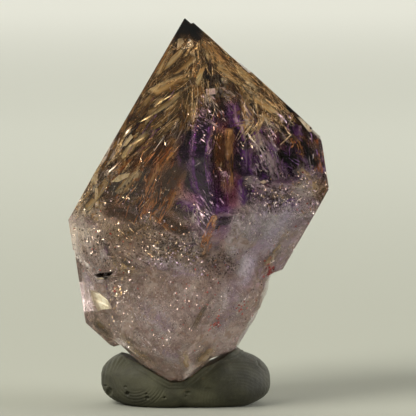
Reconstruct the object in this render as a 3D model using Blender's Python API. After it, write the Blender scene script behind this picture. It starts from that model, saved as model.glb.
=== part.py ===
"""Amethyst scepter crystal held upright in a small pad of mineral tack. Metres, Z up, the front faces -Y."""

import math

import bmesh
import bpy
from mathutils import Matrix, Vector, noise

MM = 0.001
GAP = 0.3 * MM

# How the crystal stands: tip height over the pad's underside, and its long axis leans left and a little back.
TIP_HEIGHT = 61.1
LEAN_LEFT = math.radians(8.6)
LEAN_BACK = math.radians(4.5)

# Quartz geometry: the pointed faces stand at this angle to the long axis.
POINT_ANGLE = math.radians(38.2)
POINT_SLOPE = math.tan(POINT_ANGLE)

# Six faces round the long axis. Azimuth 0 is the right side, 270 the front.
AZIMUTHS = (0, 60, 120, 180, 240, 300)

# Head. Depths are measured down the long axis from the tip, reaches out from it, in millimetres.
HEAD_TOP = (-0.3, -2.9, 0.0, 0.0, 0.0, -4.6)
HEAD_REACH = (18.5, 15.9, 14.9, 22.8, 17.7, 17.9)
HEAD_BOTTOM = (53.8, 56.4, 58.6, 62.6, 61.0, 55.4)

# Stem: the same, where its faces start far above, inside the head.
STEM_TOP = (6.0, 6.0, 6.0, 6.0, 6.0, 6.0)
STEM_REACH = (8.2, 14.2, 13.6, 18.5, 17.2, 14.1)
STEM_BOTTOM = (74.0, 65.4, 72.6, 72.2, 73.6, 62.9)

# Small crystal grown on the left of the stem. Its own axis runs beside the main one.
SIDE_AXIS = (-18.6, -1.0)
SIDE_TIP_DEPTH = 28.0
SIDE_TOP = (0.0, 0.6, 0.4, 0.0, 0.3, 0.0)
SIDE_REACH = (4.0, 4.4, 4.1, 4.1, 4.0, 4.2)
SIDE_BOTTOM = (24.4, 23.8, 23.6, 22.8, 20.9, 22.6)
SIDE_BREAK_DEPTH = 50.0

# Outline of the rough break at the foot of the stem, as (reach to the right, depth), from right to left.
BREAK_OUTLINE = (
    (15.0, 40.3),
    (7.4, 42.5),
    (6.8, 44.6),
    (5.3, 47.4),
    (3.2, 49.8),
    (1.5, 52.1),
    (0.4, 53.3),
    (-3.9, 54.1),
    (-6.2, 55.8),
    (-8.9, 57.0),
    (-11.2, 56.5),
    (-14.0, 54.2),
    (-17.4, 50.6),
    (-21.5, 45.8),
)
BREAK_STEPS = 44
BREAK_ROWS = 26
BREAK_HALF_DEPTH = 19.0
BREAK_ROUGHNESS = 0.55

# Thin growth layers that stand proud of the head: how far each rises, and the depths that it runs between.
LAYER_TIP = 0.36
LAYER_TIP_START = 1.3
LAYER_RIGHT_TOP = 0.74
LAYER_RIGHT_TOP_START = 7.9
LAYER_RIGHT_TOP_END = 17.2
LAYER_FLAKE = 0.71
LAYER_FRONT_RIGHT = 0.22
LAYER_FRONT_RIGHT_START = 23.6
LAYER_FRONT_LEFT = 0.14
LAYER_BACK = 0.45
LAYER_BACK_LOW = 0.3
LAYER_LOWEST = 36.0

# Cleft where the head overhangs the side crystal.
CLEFT_DEPTH = 38.4
CLEFT_REACH = -18.2
CLEFT_HALF_ANGLE = math.radians(7.0)
CLEFT_LENGTH = 4.4

# Pad of mineral tack: half sizes of the pressed lump and how far it is sunk below its middle.
PAD_HALF_WIDTH = 13.7
PAD_HALF_DEPTH = 8.8
PAD_HALF_HEIGHT = 5.05
PAD_MIDDLE_HEIGHT = 3.85
PAD_FROM_TIP = (0.3, -4.5)
PAD_COLUMNS = 84
PAD_ROWS = 44
PAD_ROUND = 2.65
RECESS_SLICES = ((-24.0, -4.2), (-5.6, 8.0))
RECESS_TOP = 12.0


def clear_scene():
    for obj in list(bpy.data.objects):
        bpy.data.objects.remove(obj, do_unlink=True)


def crystal_frame():
    """Axes of the crystal as columns: right, away from the front, and up the long axis."""
    across = Vector((math.cos(LEAN_LEFT), 0.0, math.sin(LEAN_LEFT)))
    up = Vector((-math.sin(LEAN_LEFT), 0.0, math.cos(LEAN_LEFT)))
    tip_back = Matrix.Rotation(-LEAN_BACK, 3, "X")
    across = tip_back @ across
    up = tip_back @ up
    away = up.cross(across)
    return across, away, up


ACROSS, AWAY, UP = crystal_frame()


def at(right, back, depth):
    """Point in space, from millimetres in the crystal's own axes with the tip as origin."""
    return (ACROSS * right + AWAY * back - UP * depth) * MM


def outward(azimuth):
    angle = math.radians(azimuth)
    return ACROSS * math.cos(angle) + AWAY * math.sin(angle)


def top_face(azimuth, start, axis=(0.0, 0.0)):
    """Upper pointed face that meets the axis at depth start."""
    normal = outward(azimuth) * math.cos(POINT_ANGLE) + UP * math.sin(POINT_ANGLE)
    return at(axis[0], axis[1], start), normal


def low_face(azimuth, end, axis=(0.0, 0.0)):
    """Lower pointed face that meets the axis at depth end."""
    normal = outward(azimuth) * math.cos(POINT_ANGLE) - UP * math.sin(POINT_ANGLE)
    return at(axis[0], axis[1], end), normal


def side_face(azimuth, reach, axis=(0.0, 0.0)):
    """Prism face, parallel to the long axis."""
    normal = outward(azimuth)
    return at(axis[0], axis[1], 0.0) + normal * reach * MM, normal


def convex_solid(name, faces):
    """Closed solid inside all the given (point, outward normal) planes."""
    bm = bmesh.new()
    bmesh.ops.create_cube(bm, size=0.3)
    for point, normal in faces:
        everything = bm.verts[:] + bm.edges[:] + bm.faces[:]
        cut = bmesh.ops.bisect_plane(
            bm, geom=everything, plane_co=point, plane_no=normal, dist=1e-8, clear_outer=True
        )
        rim = [item for item in cut["geom_cut"] if isinstance(item, bmesh.types.BMEdge)]
        if len(rim) > 2:
            bmesh.ops.edgeloop_fill(bm, edges=rim)
    bmesh.ops.remove_doubles(bm, verts=bm.verts[:], dist=1e-7)
    bmesh.ops.recalc_face_normals(bm, faces=bm.faces[:])
    return object_from(name, bm)


def object_from(name, bm):
    mesh = bpy.data.meshes.new(name)
    bm.to_mesh(mesh)
    bm.free()
    obj = bpy.data.objects.new(name, mesh)
    bpy.context.scene.collection.objects.link(obj)
    return obj


def quartz_faces(tops, reaches, bottoms, axis=(0.0, 0.0), tip_depth=0.0):
    faces = []
    for azimuth, top, reach, bottom in zip(AZIMUTHS, tops, reaches, bottoms):
        faces.append(top_face(azimuth, tip_depth + top, axis))
        faces.append(side_face(azimuth, reach, axis))
        faces.append(low_face(azimuth, tip_depth + bottom, axis))
    return faces


def head_layer(name, azimuth, rise, limits, upper, sunk):
    """Head grown by rise on one face only, cut off at the limits and sunk a little in its other faces."""
    tops = [top + sunk for top in HEAD_TOP]
    reaches = [reach - sunk for reach in HEAD_REACH]
    bottoms = [bottom - sunk for bottom in HEAD_BOTTOM]
    place = AZIMUTHS.index(azimuth)
    if upper:
        tops[place] = HEAD_TOP[place] - rise / math.sin(POINT_ANGLE)
    else:
        reaches[place] = HEAD_REACH[place] + rise
    above_stem = (at(0.0, 0.0, LAYER_LOWEST - sunk), -UP)
    return convex_solid(name, quartz_faces(tops, reaches, bottoms) + [above_stem] + limits)


def combine(target, tool, operation):
    """Booleans tool into target and drops the tool."""
    modifier = target.modifiers.new(operation.lower(), "BOOLEAN")
    modifier.operation = operation
    modifier.solver = "EXACT"
    modifier.object = tool
    graph = bpy.context.evaluated_depsgraph_get()
    graph.update()
    result = bpy.data.meshes.new_from_object(target.evaluated_get(graph))
    old = target.data
    target.modifiers.clear()
    target.data = result
    bpy.data.meshes.remove(old)
    bpy.data.objects.remove(tool, do_unlink=True)


def along_outline(share):
    """Point and outward direction on the break outline, share running from 0 to 1."""
    spans = [
        math.dist(first, second) for first, second in zip(BREAK_OUTLINE, BREAK_OUTLINE[1:])
    ]
    left = share * sum(spans)
    for index, span in enumerate(spans):
        if left <= span or index == len(spans) - 1:
            break
        left -= span
    first = Vector(BREAK_OUTLINE[index])
    second = Vector(BREAK_OUTLINE[index + 1])
    place = first.lerp(second, min(left / spans[index], 1.0))
    run = Vector(BREAK_OUTLINE[-1]) - Vector(BREAK_OUTLINE[0])
    middle = Vector((-9.0, 44.0))
    out = (place - middle).normalized()
    side = Vector((-run.y, run.x)).normalized()
    if side.y < 0.0:
        side.negate()
    return place, (out * 0.75 + side * 0.25).normalized()


def break_inset(share, back):
    """How far the fracture lies inside its outline at this depth into the crystal, in millimetres."""
    steps = noise.noise(Vector((share * 9.0, back * 0.16, 3.1)))
    shells = abs(noise.noise(Vector((share * 15.0, back * 0.3, 7.7))))
    grain = noise.noise(Vector((share * 44.0, back * 0.95, 1.3)))
    rough = BREAK_ROUGHNESS * (0.9 * steps + 1.3 * shells + 0.35 * grain)
    return max(rough, -0.12) + 1.5 * (back / BREAK_HALF_DEPTH) ** 2


def break_cutter():
    """Everything beyond the rough fracture at the foot of the stem."""
    bm = bmesh.new()
    inner = []
    outer = []
    for step in range(BREAK_STEPS + 1):
        share = step / BREAK_STEPS
        place, out = along_outline(share)
        near_row = []
        far_row = []
        for row in range(BREAK_ROWS + 1):
            back = BREAK_HALF_DEPTH * (2.0 * row / BREAK_ROWS - 1.0)
            near = place - out * break_inset(share, back)
            far = place + out * 14.0
            near_row.append(bm.verts.new(at(near.x, back, near.y)))
            far_row.append(bm.verts.new(at(far.x, back, far.y)))
        inner.append(near_row)
        outer.append(far_row)
    for step in range(BREAK_STEPS):
        for row in range(BREAK_ROWS):
            for grid in (inner, outer):
                bm.faces.new([grid[step + a][row + b] for a, b in CORNERS])
        for row in (0, BREAK_ROWS):
            bm.faces.new([inner[step][row], inner[step + 1][row], outer[step + 1][row], outer[step][row]])
    for row in range(BREAK_ROWS):
        for step in (0, BREAK_STEPS):
            bm.faces.new([inner[step][row], inner[step][row + 1], outer[step][row + 1], outer[step][row]])
    bmesh.ops.recalc_face_normals(bm, faces=bm.faces[:])
    return object_from("break_cutter", bm)


CORNERS = ((0, 0), (1, 0), (1, 1), (0, 1))


def make_crystal():
    crystal = convex_solid("scepter_crystal", quartz_faces(STEM_TOP, STEM_REACH, STEM_BOTTOM))
    combine(crystal, convex_solid("head", quartz_faces(HEAD_TOP, HEAD_REACH, HEAD_BOTTOM)), "UNION")
    combine(crystal, break_cutter(), "DIFFERENCE")

    side_faces = quartz_faces(SIDE_TOP, SIDE_REACH, SIDE_BOTTOM, SIDE_AXIS, SIDE_TIP_DEPTH)
    broken_tip = (at(SIDE_AXIS[0], SIDE_AXIS[1], SIDE_BREAK_DEPTH), (-UP + ACROSS * 0.12).normalized())
    combine(crystal, convex_solid("side_crystal", side_faces + [broken_tip]), "UNION")

    tip_side = [
        (at(0.0, 0.0, LAYER_TIP_START), (UP * 0.97 + AWAY * 0.24).normalized()),
        (at(0.0, 6.0, 0.0), AWAY),
    ]
    combine(crystal, head_layer("tip_layer", 0, LAYER_TIP, tip_side, True, 0.04), "UNION")

    right_top = [
        (at(0.0, 0.0, LAYER_RIGHT_TOP_START), (UP * 0.96 - AWAY * 0.28).normalized()),
        (at(0.0, 0.0, LAYER_RIGHT_TOP_END), (-UP * 0.95 + AWAY * 0.3).normalized()),
        (at(0.0, 9.0, 0.0), AWAY),
    ]
    combine(crystal, head_layer("right_top_layer", 0, LAYER_RIGHT_TOP, right_top, True, 0.07), "UNION")

    flake = [
        (at(0.0, 0.0, LAYER_RIGHT_TOP_END - 0.4), UP),
        (at(0.0, -1.0, 0.0), (AWAY + UP * 0.2).normalized()),
        (at(0.0, -7.0, 0.0), (-AWAY + UP * 0.1).normalized()),
    ]
    combine(crystal, head_layer("flake", 0, LAYER_FLAKE, flake, True, 0.10), "UNION")

    front_right = [
        (at(0.0, 0.0, LAYER_FRONT_RIGHT_START), UP),
        (at(11.7, 0.0, LAYER_FRONT_RIGHT_START), (-ACROSS - UP * 0.43).normalized()),
    ]
    combine(crystal, head_layer("front_right_layer", 300, LAYER_FRONT_RIGHT, front_right, False, 0.05), "UNION")

    front_left = [
        (at(-7.0, 0.0, 20.0), (ACROSS * 0.62 + UP * 0.787).normalized()),
        (at(0.0, 0.0, 33.0), -UP),
    ]
    combine(crystal, head_layer("front_left_layer", 240, LAYER_FRONT_LEFT, front_left, False, 0.08), "UNION")

    back = [
        (at(0.0, 0.0, 12.0), (UP + ACROSS * 0.3).normalized()),
        (at(3.5, 0.0, 20.0), (ACROSS + UP * 0.2).normalized()),
    ]
    combine(crystal, head_layer("back_layer", 120, LAYER_BACK, back, True, 0.06), "UNION")

    back_low = [
        (at(0.0, 0.0, 25.5), UP),
        (at(0.0, 0.0, 34.0), (-UP + ACROSS * 0.25).normalized()),
    ]
    combine(crystal, head_layer("back_low_layer", 60, LAYER_BACK_LOW, back_low, False, 0.09), "UNION")

    cleft_middle = at(CLEFT_REACH, -9.2, CLEFT_DEPTH)
    mouth = (-ACROSS * 0.35 - AWAY * 0.94).normalized()
    blade = (UP + ACROSS * 0.16).normalized()
    blade = (blade - mouth * blade.dot(mouth)).normalized()
    along = mouth.cross(blade)
    root = cleft_middle - mouth * 1.9 * MM
    cleft = convex_solid(
        "cleft",
        [
            (root, (blade * math.cos(CLEFT_HALF_ANGLE) - mouth * math.sin(CLEFT_HALF_ANGLE)).normalized()),
            (root, (-blade * math.cos(CLEFT_HALF_ANGLE) - mouth * math.sin(CLEFT_HALF_ANGLE)).normalized()),
            (root + mouth * 9.0 * MM, mouth),
            (cleft_middle + along * CLEFT_LENGTH * 0.55 * MM, (along + blade * 0.3).normalized()),
            (cleft_middle - along * CLEFT_LENGTH * 0.75 * MM, (-along - mouth * 0.4).normalized()),
        ],
    )
    combine(crystal, cleft, "DIFFERENCE")
    return crystal


def pad_dent(point):
    """How far finger presses push the pad in at this point of its unit shape, in millimetres."""
    presses = (
        (Vector((-0.86, -0.42, 0.2)), 0.42, 0.55),
        (Vector((0.83, -0.46, 0.3)), 0.30, 0.5),
        (Vector((0.3, -0.95, -0.1)), 0.45, 0.35),
        (Vector((-0.35, 0.93, 0.1)), 0.45, 0.6),
        (Vector((0.7, 0.7, 0.2)), 0.35, 0.5),
        (Vector((0.72, -0.1, 0.7)), 0.3, -0.8),
    )
    depth = 0.0
    for place, width, amount in presses:
        depth += amount * math.exp(-((point - place.normalized()).length / width) ** 2)
    return depth


def make_pad():
    """Pressed oval lump, flat below."""
    bm = bmesh.new()
    centre = Vector((PAD_FROM_TIP[0], PAD_FROM_TIP[1], PAD_MIDDLE_HEIGHT)) * MM
    rows = []
    for row in range(1, PAD_ROWS):
        polar = math.pi * row / PAD_ROWS
        ring = []
        for column in range(PAD_COLUMNS):
            turn = 2.0 * math.pi * column / PAD_COLUMNS
            ray = Vector(
                (math.cos(polar), math.sin(polar) * math.cos(turn), math.sin(polar) * math.sin(turn))
            )
            ring.append(bm.verts.new(centre + pad_point(ray)))
        rows.append(ring)
    ends = [bm.verts.new(centre + pad_point(Vector((side, 0.0, 0.0)))) for side in (1.0, -1.0)]
    for first, second in zip(rows, rows[1:]):
        for column in range(PAD_COLUMNS):
            after = (column + 1) % PAD_COLUMNS
            bm.faces.new((first[column], second[column], second[after], first[after]))
    for column in range(PAD_COLUMNS):
        after = (column + 1) % PAD_COLUMNS
        bm.faces.new((rows[0][after], ends[0], rows[0][column]))
        bm.faces.new((rows[-1][column], ends[1], rows[-1][after]))
    cut = bmesh.ops.bisect_plane(
        bm,
        geom=bm.verts[:] + bm.edges[:] + bm.faces[:],
        plane_co=(0.0, 0.0, 0.0),
        plane_no=(0.0, 0.0, -1.0),
        dist=1e-6,
        clear_outer=True,
    )
    rim = [item for item in cut["geom_cut"] if isinstance(item, bmesh.types.BMEdge)]
    bmesh.ops.edgeloop_fill(bm, edges=rim)
    bmesh.ops.recalc_face_normals(bm, faces=bm.faces[:])
    return object_from("tack_pad", bm)


def pad_point(ray):
    """Surface of the lump along a ray from its middle."""
    half = (PAD_HALF_WIDTH, PAD_HALF_DEPTH, PAD_HALF_HEIGHT)
    power = PAD_ROUND
    total = sum(abs(part / size) ** power for part, size in zip(ray, half))
    reach = total ** (-1.0 / power)
    swell = 0.5 * noise.noise(ray * 1.7 + Vector((4.0, 1.0, 2.0)))
    lumps = 0.16 * noise.noise(ray * 5.0)
    return ray * (reach + swell + lumps - pad_dent(ray)) * MM


def recess_cutter(crystal, left, right):
    """Foot of the crystal between two reaches, grown by the gap all round."""
    tip = Vector((0.0, 0.0, TIP_HEIGHT * MM))
    bm = bmesh.new()
    bm.from_mesh(crystal.data)
    for place, normal in (
        (tip + at(left, 0.0, 0.0), -ACROSS),
        (tip + at(right, 0.0, 0.0), ACROSS),
        (Vector((0.0, 0.0, RECESS_TOP * MM)), Vector((0.0, 0.0, 1.0))),
    ):
        everything = bm.verts[:] + bm.edges[:] + bm.faces[:]
        bmesh.ops.bisect_plane(bm, geom=everything, plane_co=place, plane_no=normal, clear_outer=True)
    corners = [vertex.co.copy() for vertex in bm.verts]
    bm.clear()
    for corner in corners:
        for ray in BALL:
            bm.verts.new(corner + Vector(ray).normalized() * GAP * 1.12)
    hull = bmesh.ops.convex_hull(bm, input=bm.verts[:])
    spare = [item for item in hull["geom_interior"] if isinstance(item, bmesh.types.BMVert)]
    bmesh.ops.delete(bm, geom=spare, context="VERTS")
    bmesh.ops.recalc_face_normals(bm, faces=bm.faces[:])
    return object_from("recess_cutter", bm)


BALL = (
    (1, 0, 0), (-1, 0, 0), (0, 1, 0), (0, -1, 0), (0, 0, 1), (0, 0, -1),
    (1, 1, 1), (1, 1, -1), (1, -1, 1), (1, -1, -1), (-1, 1, 1), (-1, 1, -1), (-1, -1, 1), (-1, -1, -1),
)


def paint(obj, name, colour, roughness, transmission):
    material = bpy.data.materials.new(name)
    material.use_nodes = True
    shader = material.node_tree.nodes["Principled BSDF"]
    shader.inputs["Base Color"].default_value = (*colour, 1.0)
    shader.inputs["Roughness"].default_value = roughness
    shader.inputs["Transmission Weight"].default_value = transmission
    shader.inputs["IOR"].default_value = 1.544
    obj.data.materials.clear()
    obj.data.materials.append(material)


def centre_all(objects):
    """Moves the origin to the middle of the underside of the bounding box."""
    points = [vertex.co for obj in objects for vertex in obj.data.vertices]
    low = [min(point[axis] for point in points) for axis in range(3)]
    high = [max(point[axis] for point in points) for axis in range(3)]
    shift = Vector((-(low[0] + high[0]) / 2.0, -(low[1] + high[1]) / 2.0, -low[2]))
    for obj in objects:
        obj.data.transform(Matrix.Translation(shift))
        obj.data.update()


def main():
    clear_scene()
    crystal = make_crystal()
    crystal.data.transform(Matrix.Translation((0.0, 0.0, TIP_HEIGHT * MM)))
    pad = make_pad()
    for left, right in RECESS_SLICES:
        combine(pad, recess_cutter(crystal, left, right), "DIFFERENCE")
    centre_all((crystal, pad))
    paint(crystal, "amethyst", (0.42, 0.33, 0.38), 0.04, 0.8)
    paint(pad, "tack", (0.17, 0.17, 0.12), 0.75, 0.0)


main()
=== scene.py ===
"""Looks of the amethyst scepter crystal in its pad of mineral tack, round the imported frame. Metres, Z up."""

import math
import random

import bmesh
import bpy
from mathutils import Matrix, Vector, noise
from mathutils.bvhtree import BVHTree


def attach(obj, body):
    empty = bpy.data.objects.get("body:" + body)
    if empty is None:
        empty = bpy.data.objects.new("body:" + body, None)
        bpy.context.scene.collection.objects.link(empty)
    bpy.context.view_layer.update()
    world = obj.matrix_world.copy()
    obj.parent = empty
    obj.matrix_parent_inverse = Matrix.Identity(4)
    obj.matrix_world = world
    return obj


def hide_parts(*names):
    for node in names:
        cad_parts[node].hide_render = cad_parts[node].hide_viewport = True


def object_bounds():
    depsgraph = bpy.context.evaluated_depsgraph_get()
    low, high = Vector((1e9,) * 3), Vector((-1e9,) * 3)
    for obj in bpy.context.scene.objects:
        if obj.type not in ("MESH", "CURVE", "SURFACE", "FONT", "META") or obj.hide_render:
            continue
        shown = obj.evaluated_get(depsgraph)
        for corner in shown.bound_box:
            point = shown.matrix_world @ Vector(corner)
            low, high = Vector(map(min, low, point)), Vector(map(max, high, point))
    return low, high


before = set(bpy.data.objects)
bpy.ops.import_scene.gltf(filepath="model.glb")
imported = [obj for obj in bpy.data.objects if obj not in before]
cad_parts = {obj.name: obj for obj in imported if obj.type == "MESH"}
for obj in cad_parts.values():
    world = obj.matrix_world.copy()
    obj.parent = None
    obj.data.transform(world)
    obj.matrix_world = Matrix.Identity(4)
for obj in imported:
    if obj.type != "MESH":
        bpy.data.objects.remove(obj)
CAD_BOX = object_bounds()

MM = 0.001
TO_MM = (1000.0, 1000.0, 1000.0)

# The crystal's own axes, as it stands: it leans to the left and a little back.
LEAN_LEFT = math.radians(8.6)
LEAN_BACK = math.radians(4.5)

# Camera, matched to the photograph: the tip and the scale give the frame.
ELEVATION = math.radians(4.5)
DISTANCE = 0.62
MM_PER_PIXEL = 0.16
IMAGE_SIDE = 416
TIP_PIXEL = (185.0, 18.6)
SENSOR = 36.0

# Quartz: how it bends light, its own tint, and how fast that tint gathers, per metre.
QUARTZ_IOR = 1.544
QUARTZ_TINT = (0.72, 0.62, 0.56, 1.0)
QUARTZ_DENSITY = 22.0


def crystal_axes():
    """Right, away from the front and up, as the crystal's own axes."""
    tip_back = Matrix.Rotation(-LEAN_BACK, 3, "X")
    across = tip_back @ Vector((math.cos(LEAN_LEFT), 0.0, math.sin(LEAN_LEFT)))
    up = tip_back @ Vector((-math.sin(LEAN_LEFT), 0.0, math.cos(LEAN_LEFT)))
    return across, up.cross(across), up


ACROSS, AWAY, UP = crystal_axes()
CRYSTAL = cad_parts["scepter_crystal"]
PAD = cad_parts["tack_pad"]
TIP = max((vertex.co for vertex in CRYSTAL.data.vertices), key=lambda co: co.z).copy()
SKIN = BVHTree.FromPolygons(
    [vertex.co for vertex in CRYSTAL.data.vertices], [face.vertices for face in CRYSTAL.data.polygons]
)

# Inclusions, in millimetres: least depth under a face, and how thick a film's middle and a plate are.
LEAST_COVER = 0.35
VEIL_THICK = 0.25
PLATE_THICK = 0.12

# Soft lights: place, size in metres, power in watts and colour.
KEY_PLACE = (-0.75, -0.65, 0.80)
LIGHTS = {
    "key": (KEY_PLACE, (0.7, 0.7), 23.0, (1.0, 0.98, 0.94)),
    "side": ((1.3, -0.05, 0.35), (1.0, 0.8), 23.0, (0.985, 0.975, 1.0)),
    "backdrop": ((0.0, 3.0, 2.6), (4.0, 4.0), 60.0, (1.0, 0.995, 0.95)),
}
LIT_POINT = (0.0, 0.0, 0.03)
BACKDROP_AIM = (0.0, 0.15, -1.0)

# Floor: radius in metres, and its colours from in front of the object to far behind it: painted shade in front
# of and near the object, painted light far behind it.
FLOOR_RADIUS = 8.0
FLOOR_PAINTED_FRONT_SHADE = (0.24, 0.24, 0.205)
FLOOR_PAINTED_NEAR_SHADE = (0.31, 0.315, 0.262)
FLOOR_PAINTED_MIDDLE_SHADE = (0.53, 0.54, 0.475)
FLOOR_PAINTED_FAR_LIGHT = (0.81, 0.81, 0.755)

# Surroundings: light from in front of and above the object, and from behind it.
SURROUND_FRONT = (0.16, 0.16, 0.145)
SURROUND_BACK = (1.45, 1.44, 1.28)


def world_direction(right, up, forward):
    """Direction from camera axes: right, up in the picture, and forward into it."""
    look = Vector((0.0, math.cos(ELEVATION), -math.sin(ELEVATION)))
    rise = Vector((0.0, math.sin(ELEVATION), math.cos(ELEVATION)))
    return Vector((1.0, 0.0, 0.0)) * right + rise * up + look * forward


def picture_point(x, y):
    """Point of a pixel of the photograph, in the plane that faces the camera through the object's middle."""
    across = (x - TIP_PIXEL[0]) * MM_PER_PIXEL * MM
    down = (y - TIP_PIXEL[1]) * MM_PER_PIXEL * MM
    look = world_direction(0.0, 0.0, 1.0)
    place = TIP + world_direction(across, -down, 0.0)
    return place - look * place.dot(look)


EYE = picture_point(IMAGE_SIDE / 2, IMAGE_SIDE / 2) - world_direction(0.0, 0.0, 1.0) * DISTANCE


def make_camera():
    data = bpy.data.cameras.new("camera")
    camera = placed("camera", data)
    camera.location = EYE
    turn_towards(camera, world_direction(0.0, 0.0, 1.0))
    data.sensor_width = SENSOR
    data.lens = SENSOR * DISTANCE / (IMAGE_SIDE * MM_PER_PIXEL * MM)
    data.clip_start = 0.01
    data.clip_end = 30.0
    bpy.context.scene.camera = camera


def placed(name, data):
    """New object of the scene."""
    thing = bpy.data.objects.new(name, data)
    bpy.context.scene.collection.objects.link(thing)
    return thing


def mesh_from(bm, name):
    mesh = bpy.data.meshes.new(name)
    bm.to_mesh(mesh)
    bm.free()
    return mesh


def turn_towards(thing, way):
    """Turns a camera or light so that it looks along a direction."""
    thing.rotation_mode = "QUATERNION"
    thing.rotation_quaternion = way.to_track_quat("-Z", "Y")


def new_material(name):
    """Material, a web to add its nodes to, and its shader."""
    material = bpy.data.materials.new(name)
    material.use_nodes = True
    web = Web(material.node_tree)
    return material, web, web.tree.nodes["Principled BSDF"]


def film_material(name):
    """Material without a shader, and a web to add its nodes to."""
    material, web, shader = new_material(name)
    web.tree.nodes.remove(shader)
    return material, web


class Web:
    """Short calls to add nodes to one material."""

    def __init__(self, tree):
        self.tree = tree

    def output(self):
        """Output node of the material."""
        return next(node for node in self.tree.nodes if node.type == "OUTPUT_MATERIAL")

    def split(self, vector):
        """The X, Y and Z of a vector."""
        node = self.add("ShaderNodeSeparateXYZ")
        self.feed(vector, node.inputs[0])
        return node.outputs

    def absorb(self, colour, density):
        """Fills the material's body with a clear tint."""
        node = self.fill(self.add("ShaderNodeVolumeAbsorption"), {"Color": colour, "Density": density})
        self.feed(node.outputs["Volume"], self.output().inputs["Volume"])

    def add(self, kind, **values):
        node = self.tree.nodes.new(kind)
        for name, value in values.items():
            setattr(node, name, value)
        return node

    def feed(self, source, target):
        self.tree.links.new(source, target)

    def put(self, socket, value):
        """Sets a socket to a number or colour, or links another socket to it."""
        if isinstance(value, bpy.types.NodeSocket):
            self.feed(value, socket)
        else:
            socket.default_value = value

    def fill(self, node, values):
        """Sets or links several sockets of a node, by their names."""
        for name, value in values.items():
            self.put(node.inputs[name], value)
        return node

    def place(self):
        return self.add("ShaderNodeTexCoord").outputs["Object"]

    def moved(self, vector, location=(0, 0, 0), rotation=(0, 0, 0), scale=(1, 1, 1)):
        node = self.add("ShaderNodeMapping")
        self.fill(node, {"Vector": vector, "Location": location, "Rotation": rotation, "Scale": scale})
        return node.outputs["Vector"]

    def crystal_place(self):
        """Place in the crystal's own axes, in millimetres from its tip: right, away, up."""
        turn = Matrix((ACROSS, AWAY, UP))
        shift = turn @ TIP * -1000.0
        return self.moved(self.place(), shift, turn.to_euler(), TO_MM)

    def noise(self, vector, scale, detail=3.0, rough=0.5, bend=0.0):
        """Grey noise of a place."""
        return self.noise_node(vector, scale, detail, rough, bend).outputs["Fac"]

    def noise_node(self, vector, scale, detail, rough, bend=0.0):
        node = self.fill(self.add("ShaderNodeTexNoise"), {"Vector": vector, "Scale": scale, "Detail": detail})
        return self.fill(node, {"Roughness": rough, "Distortion": bend})

    def math(self, operation, first, second=0.0, third=0.0):
        node = self.add("ShaderNodeMath", operation=operation)
        for socket, value in zip(node.inputs, (first, second, third)):
            self.put(socket, value)
        return node.outputs[0]

    def vector(self, operation, first, second):
        node = self.add("ShaderNodeVectorMath", operation=operation)
        self.put(node.inputs[0], first)
        self.put(node.inputs[1], second)
        return node.outputs["Value" if operation == "LENGTH" else "Vector"]

    def span(self, value, low, high, out_low=0.0, out_high=1.0):
        """Smooth ramp of value from low to high."""
        node = self.add("ShaderNodeMapRange", interpolation_type="SMOOTHSTEP")
        self.fill(node, {"Value": value, "From Min": low, "From Max": high})
        self.fill(node, {"To Min": out_low, "To Max": out_high})
        return node.outputs["Result"]

    def mix(self, share, first, second):
        """Colour between two others."""
        node = self.add("ShaderNodeMix", data_type="RGBA")
        self.put(node.inputs["Factor"], share)
        for socket, value in ((node.inputs[6], first), (node.inputs[7], second)):
            self.put(socket, value if isinstance(value, bpy.types.NodeSocket) else (*value, 1.0))
        return node.outputs[2]

    def inside(self, vector, centre, radii, soft):
        """1 inside an oval in the crystal's axes, falling to 0 over the outer share soft of its radius."""
        offset = self.vector("SUBTRACT", vector, centre)
        scaled = self.vector("DIVIDE", offset, radii)
        return self.span(self.vector("LENGTH", scaled, (0, 0, 0)), 1.0 - soft, 1.0 + soft, 1.0, 0.0)

    def bump(self, height, strength, distance):
        node = self.add("ShaderNodeBump")
        self.fill(node, {"Height": height, "Strength": strength, "Distance": distance})
        return node.outputs["Normal"]

    def blend(self, share, first, second):
        """Shader between two others."""
        node = self.add("ShaderNodeMixShader")
        for socket, value in zip(node.inputs, (share, first.outputs[0], second.outputs[0])):
            self.put(socket, value)
        return node


# The quartz's faces: base tint, then tinted ovals: centre and radii in millimetres, softness and colour.
FACE_TINT = (0.86, 0.80, 0.78)
FACE_ZONES = (
    ((-9.0, -8.0, -17.0), (22.0, 60.0, 17.0), 0.45, (0.82, 0.68, 0.49)),
    ((10.0, -8.0, -9.0), (16.0, 60.0, 8.0), 0.5, (0.80, 0.64, 0.44)),
)
# Millimetres by which noise moves the ovals' edges, and the dark tip: its smoky colour deepened to near black
# as painted shade.
FACE_DRIFT = 9.0
TIP_SMOKE_AND_PAINTED_SHADE = ((0.3, 0.0, 0.0), (4.6, 12.0, 3.6), 0.3)
TIP_SMOKE_AND_PAINTED_SHADE_TINT = (0.02, 0.010, 0.004)
# Heights from the tip, in millimetres, between which the faces turn from polished to cloudy.
CLOUDY_FROM = -34.0
CLOUDY_TO = -40.0


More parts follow.
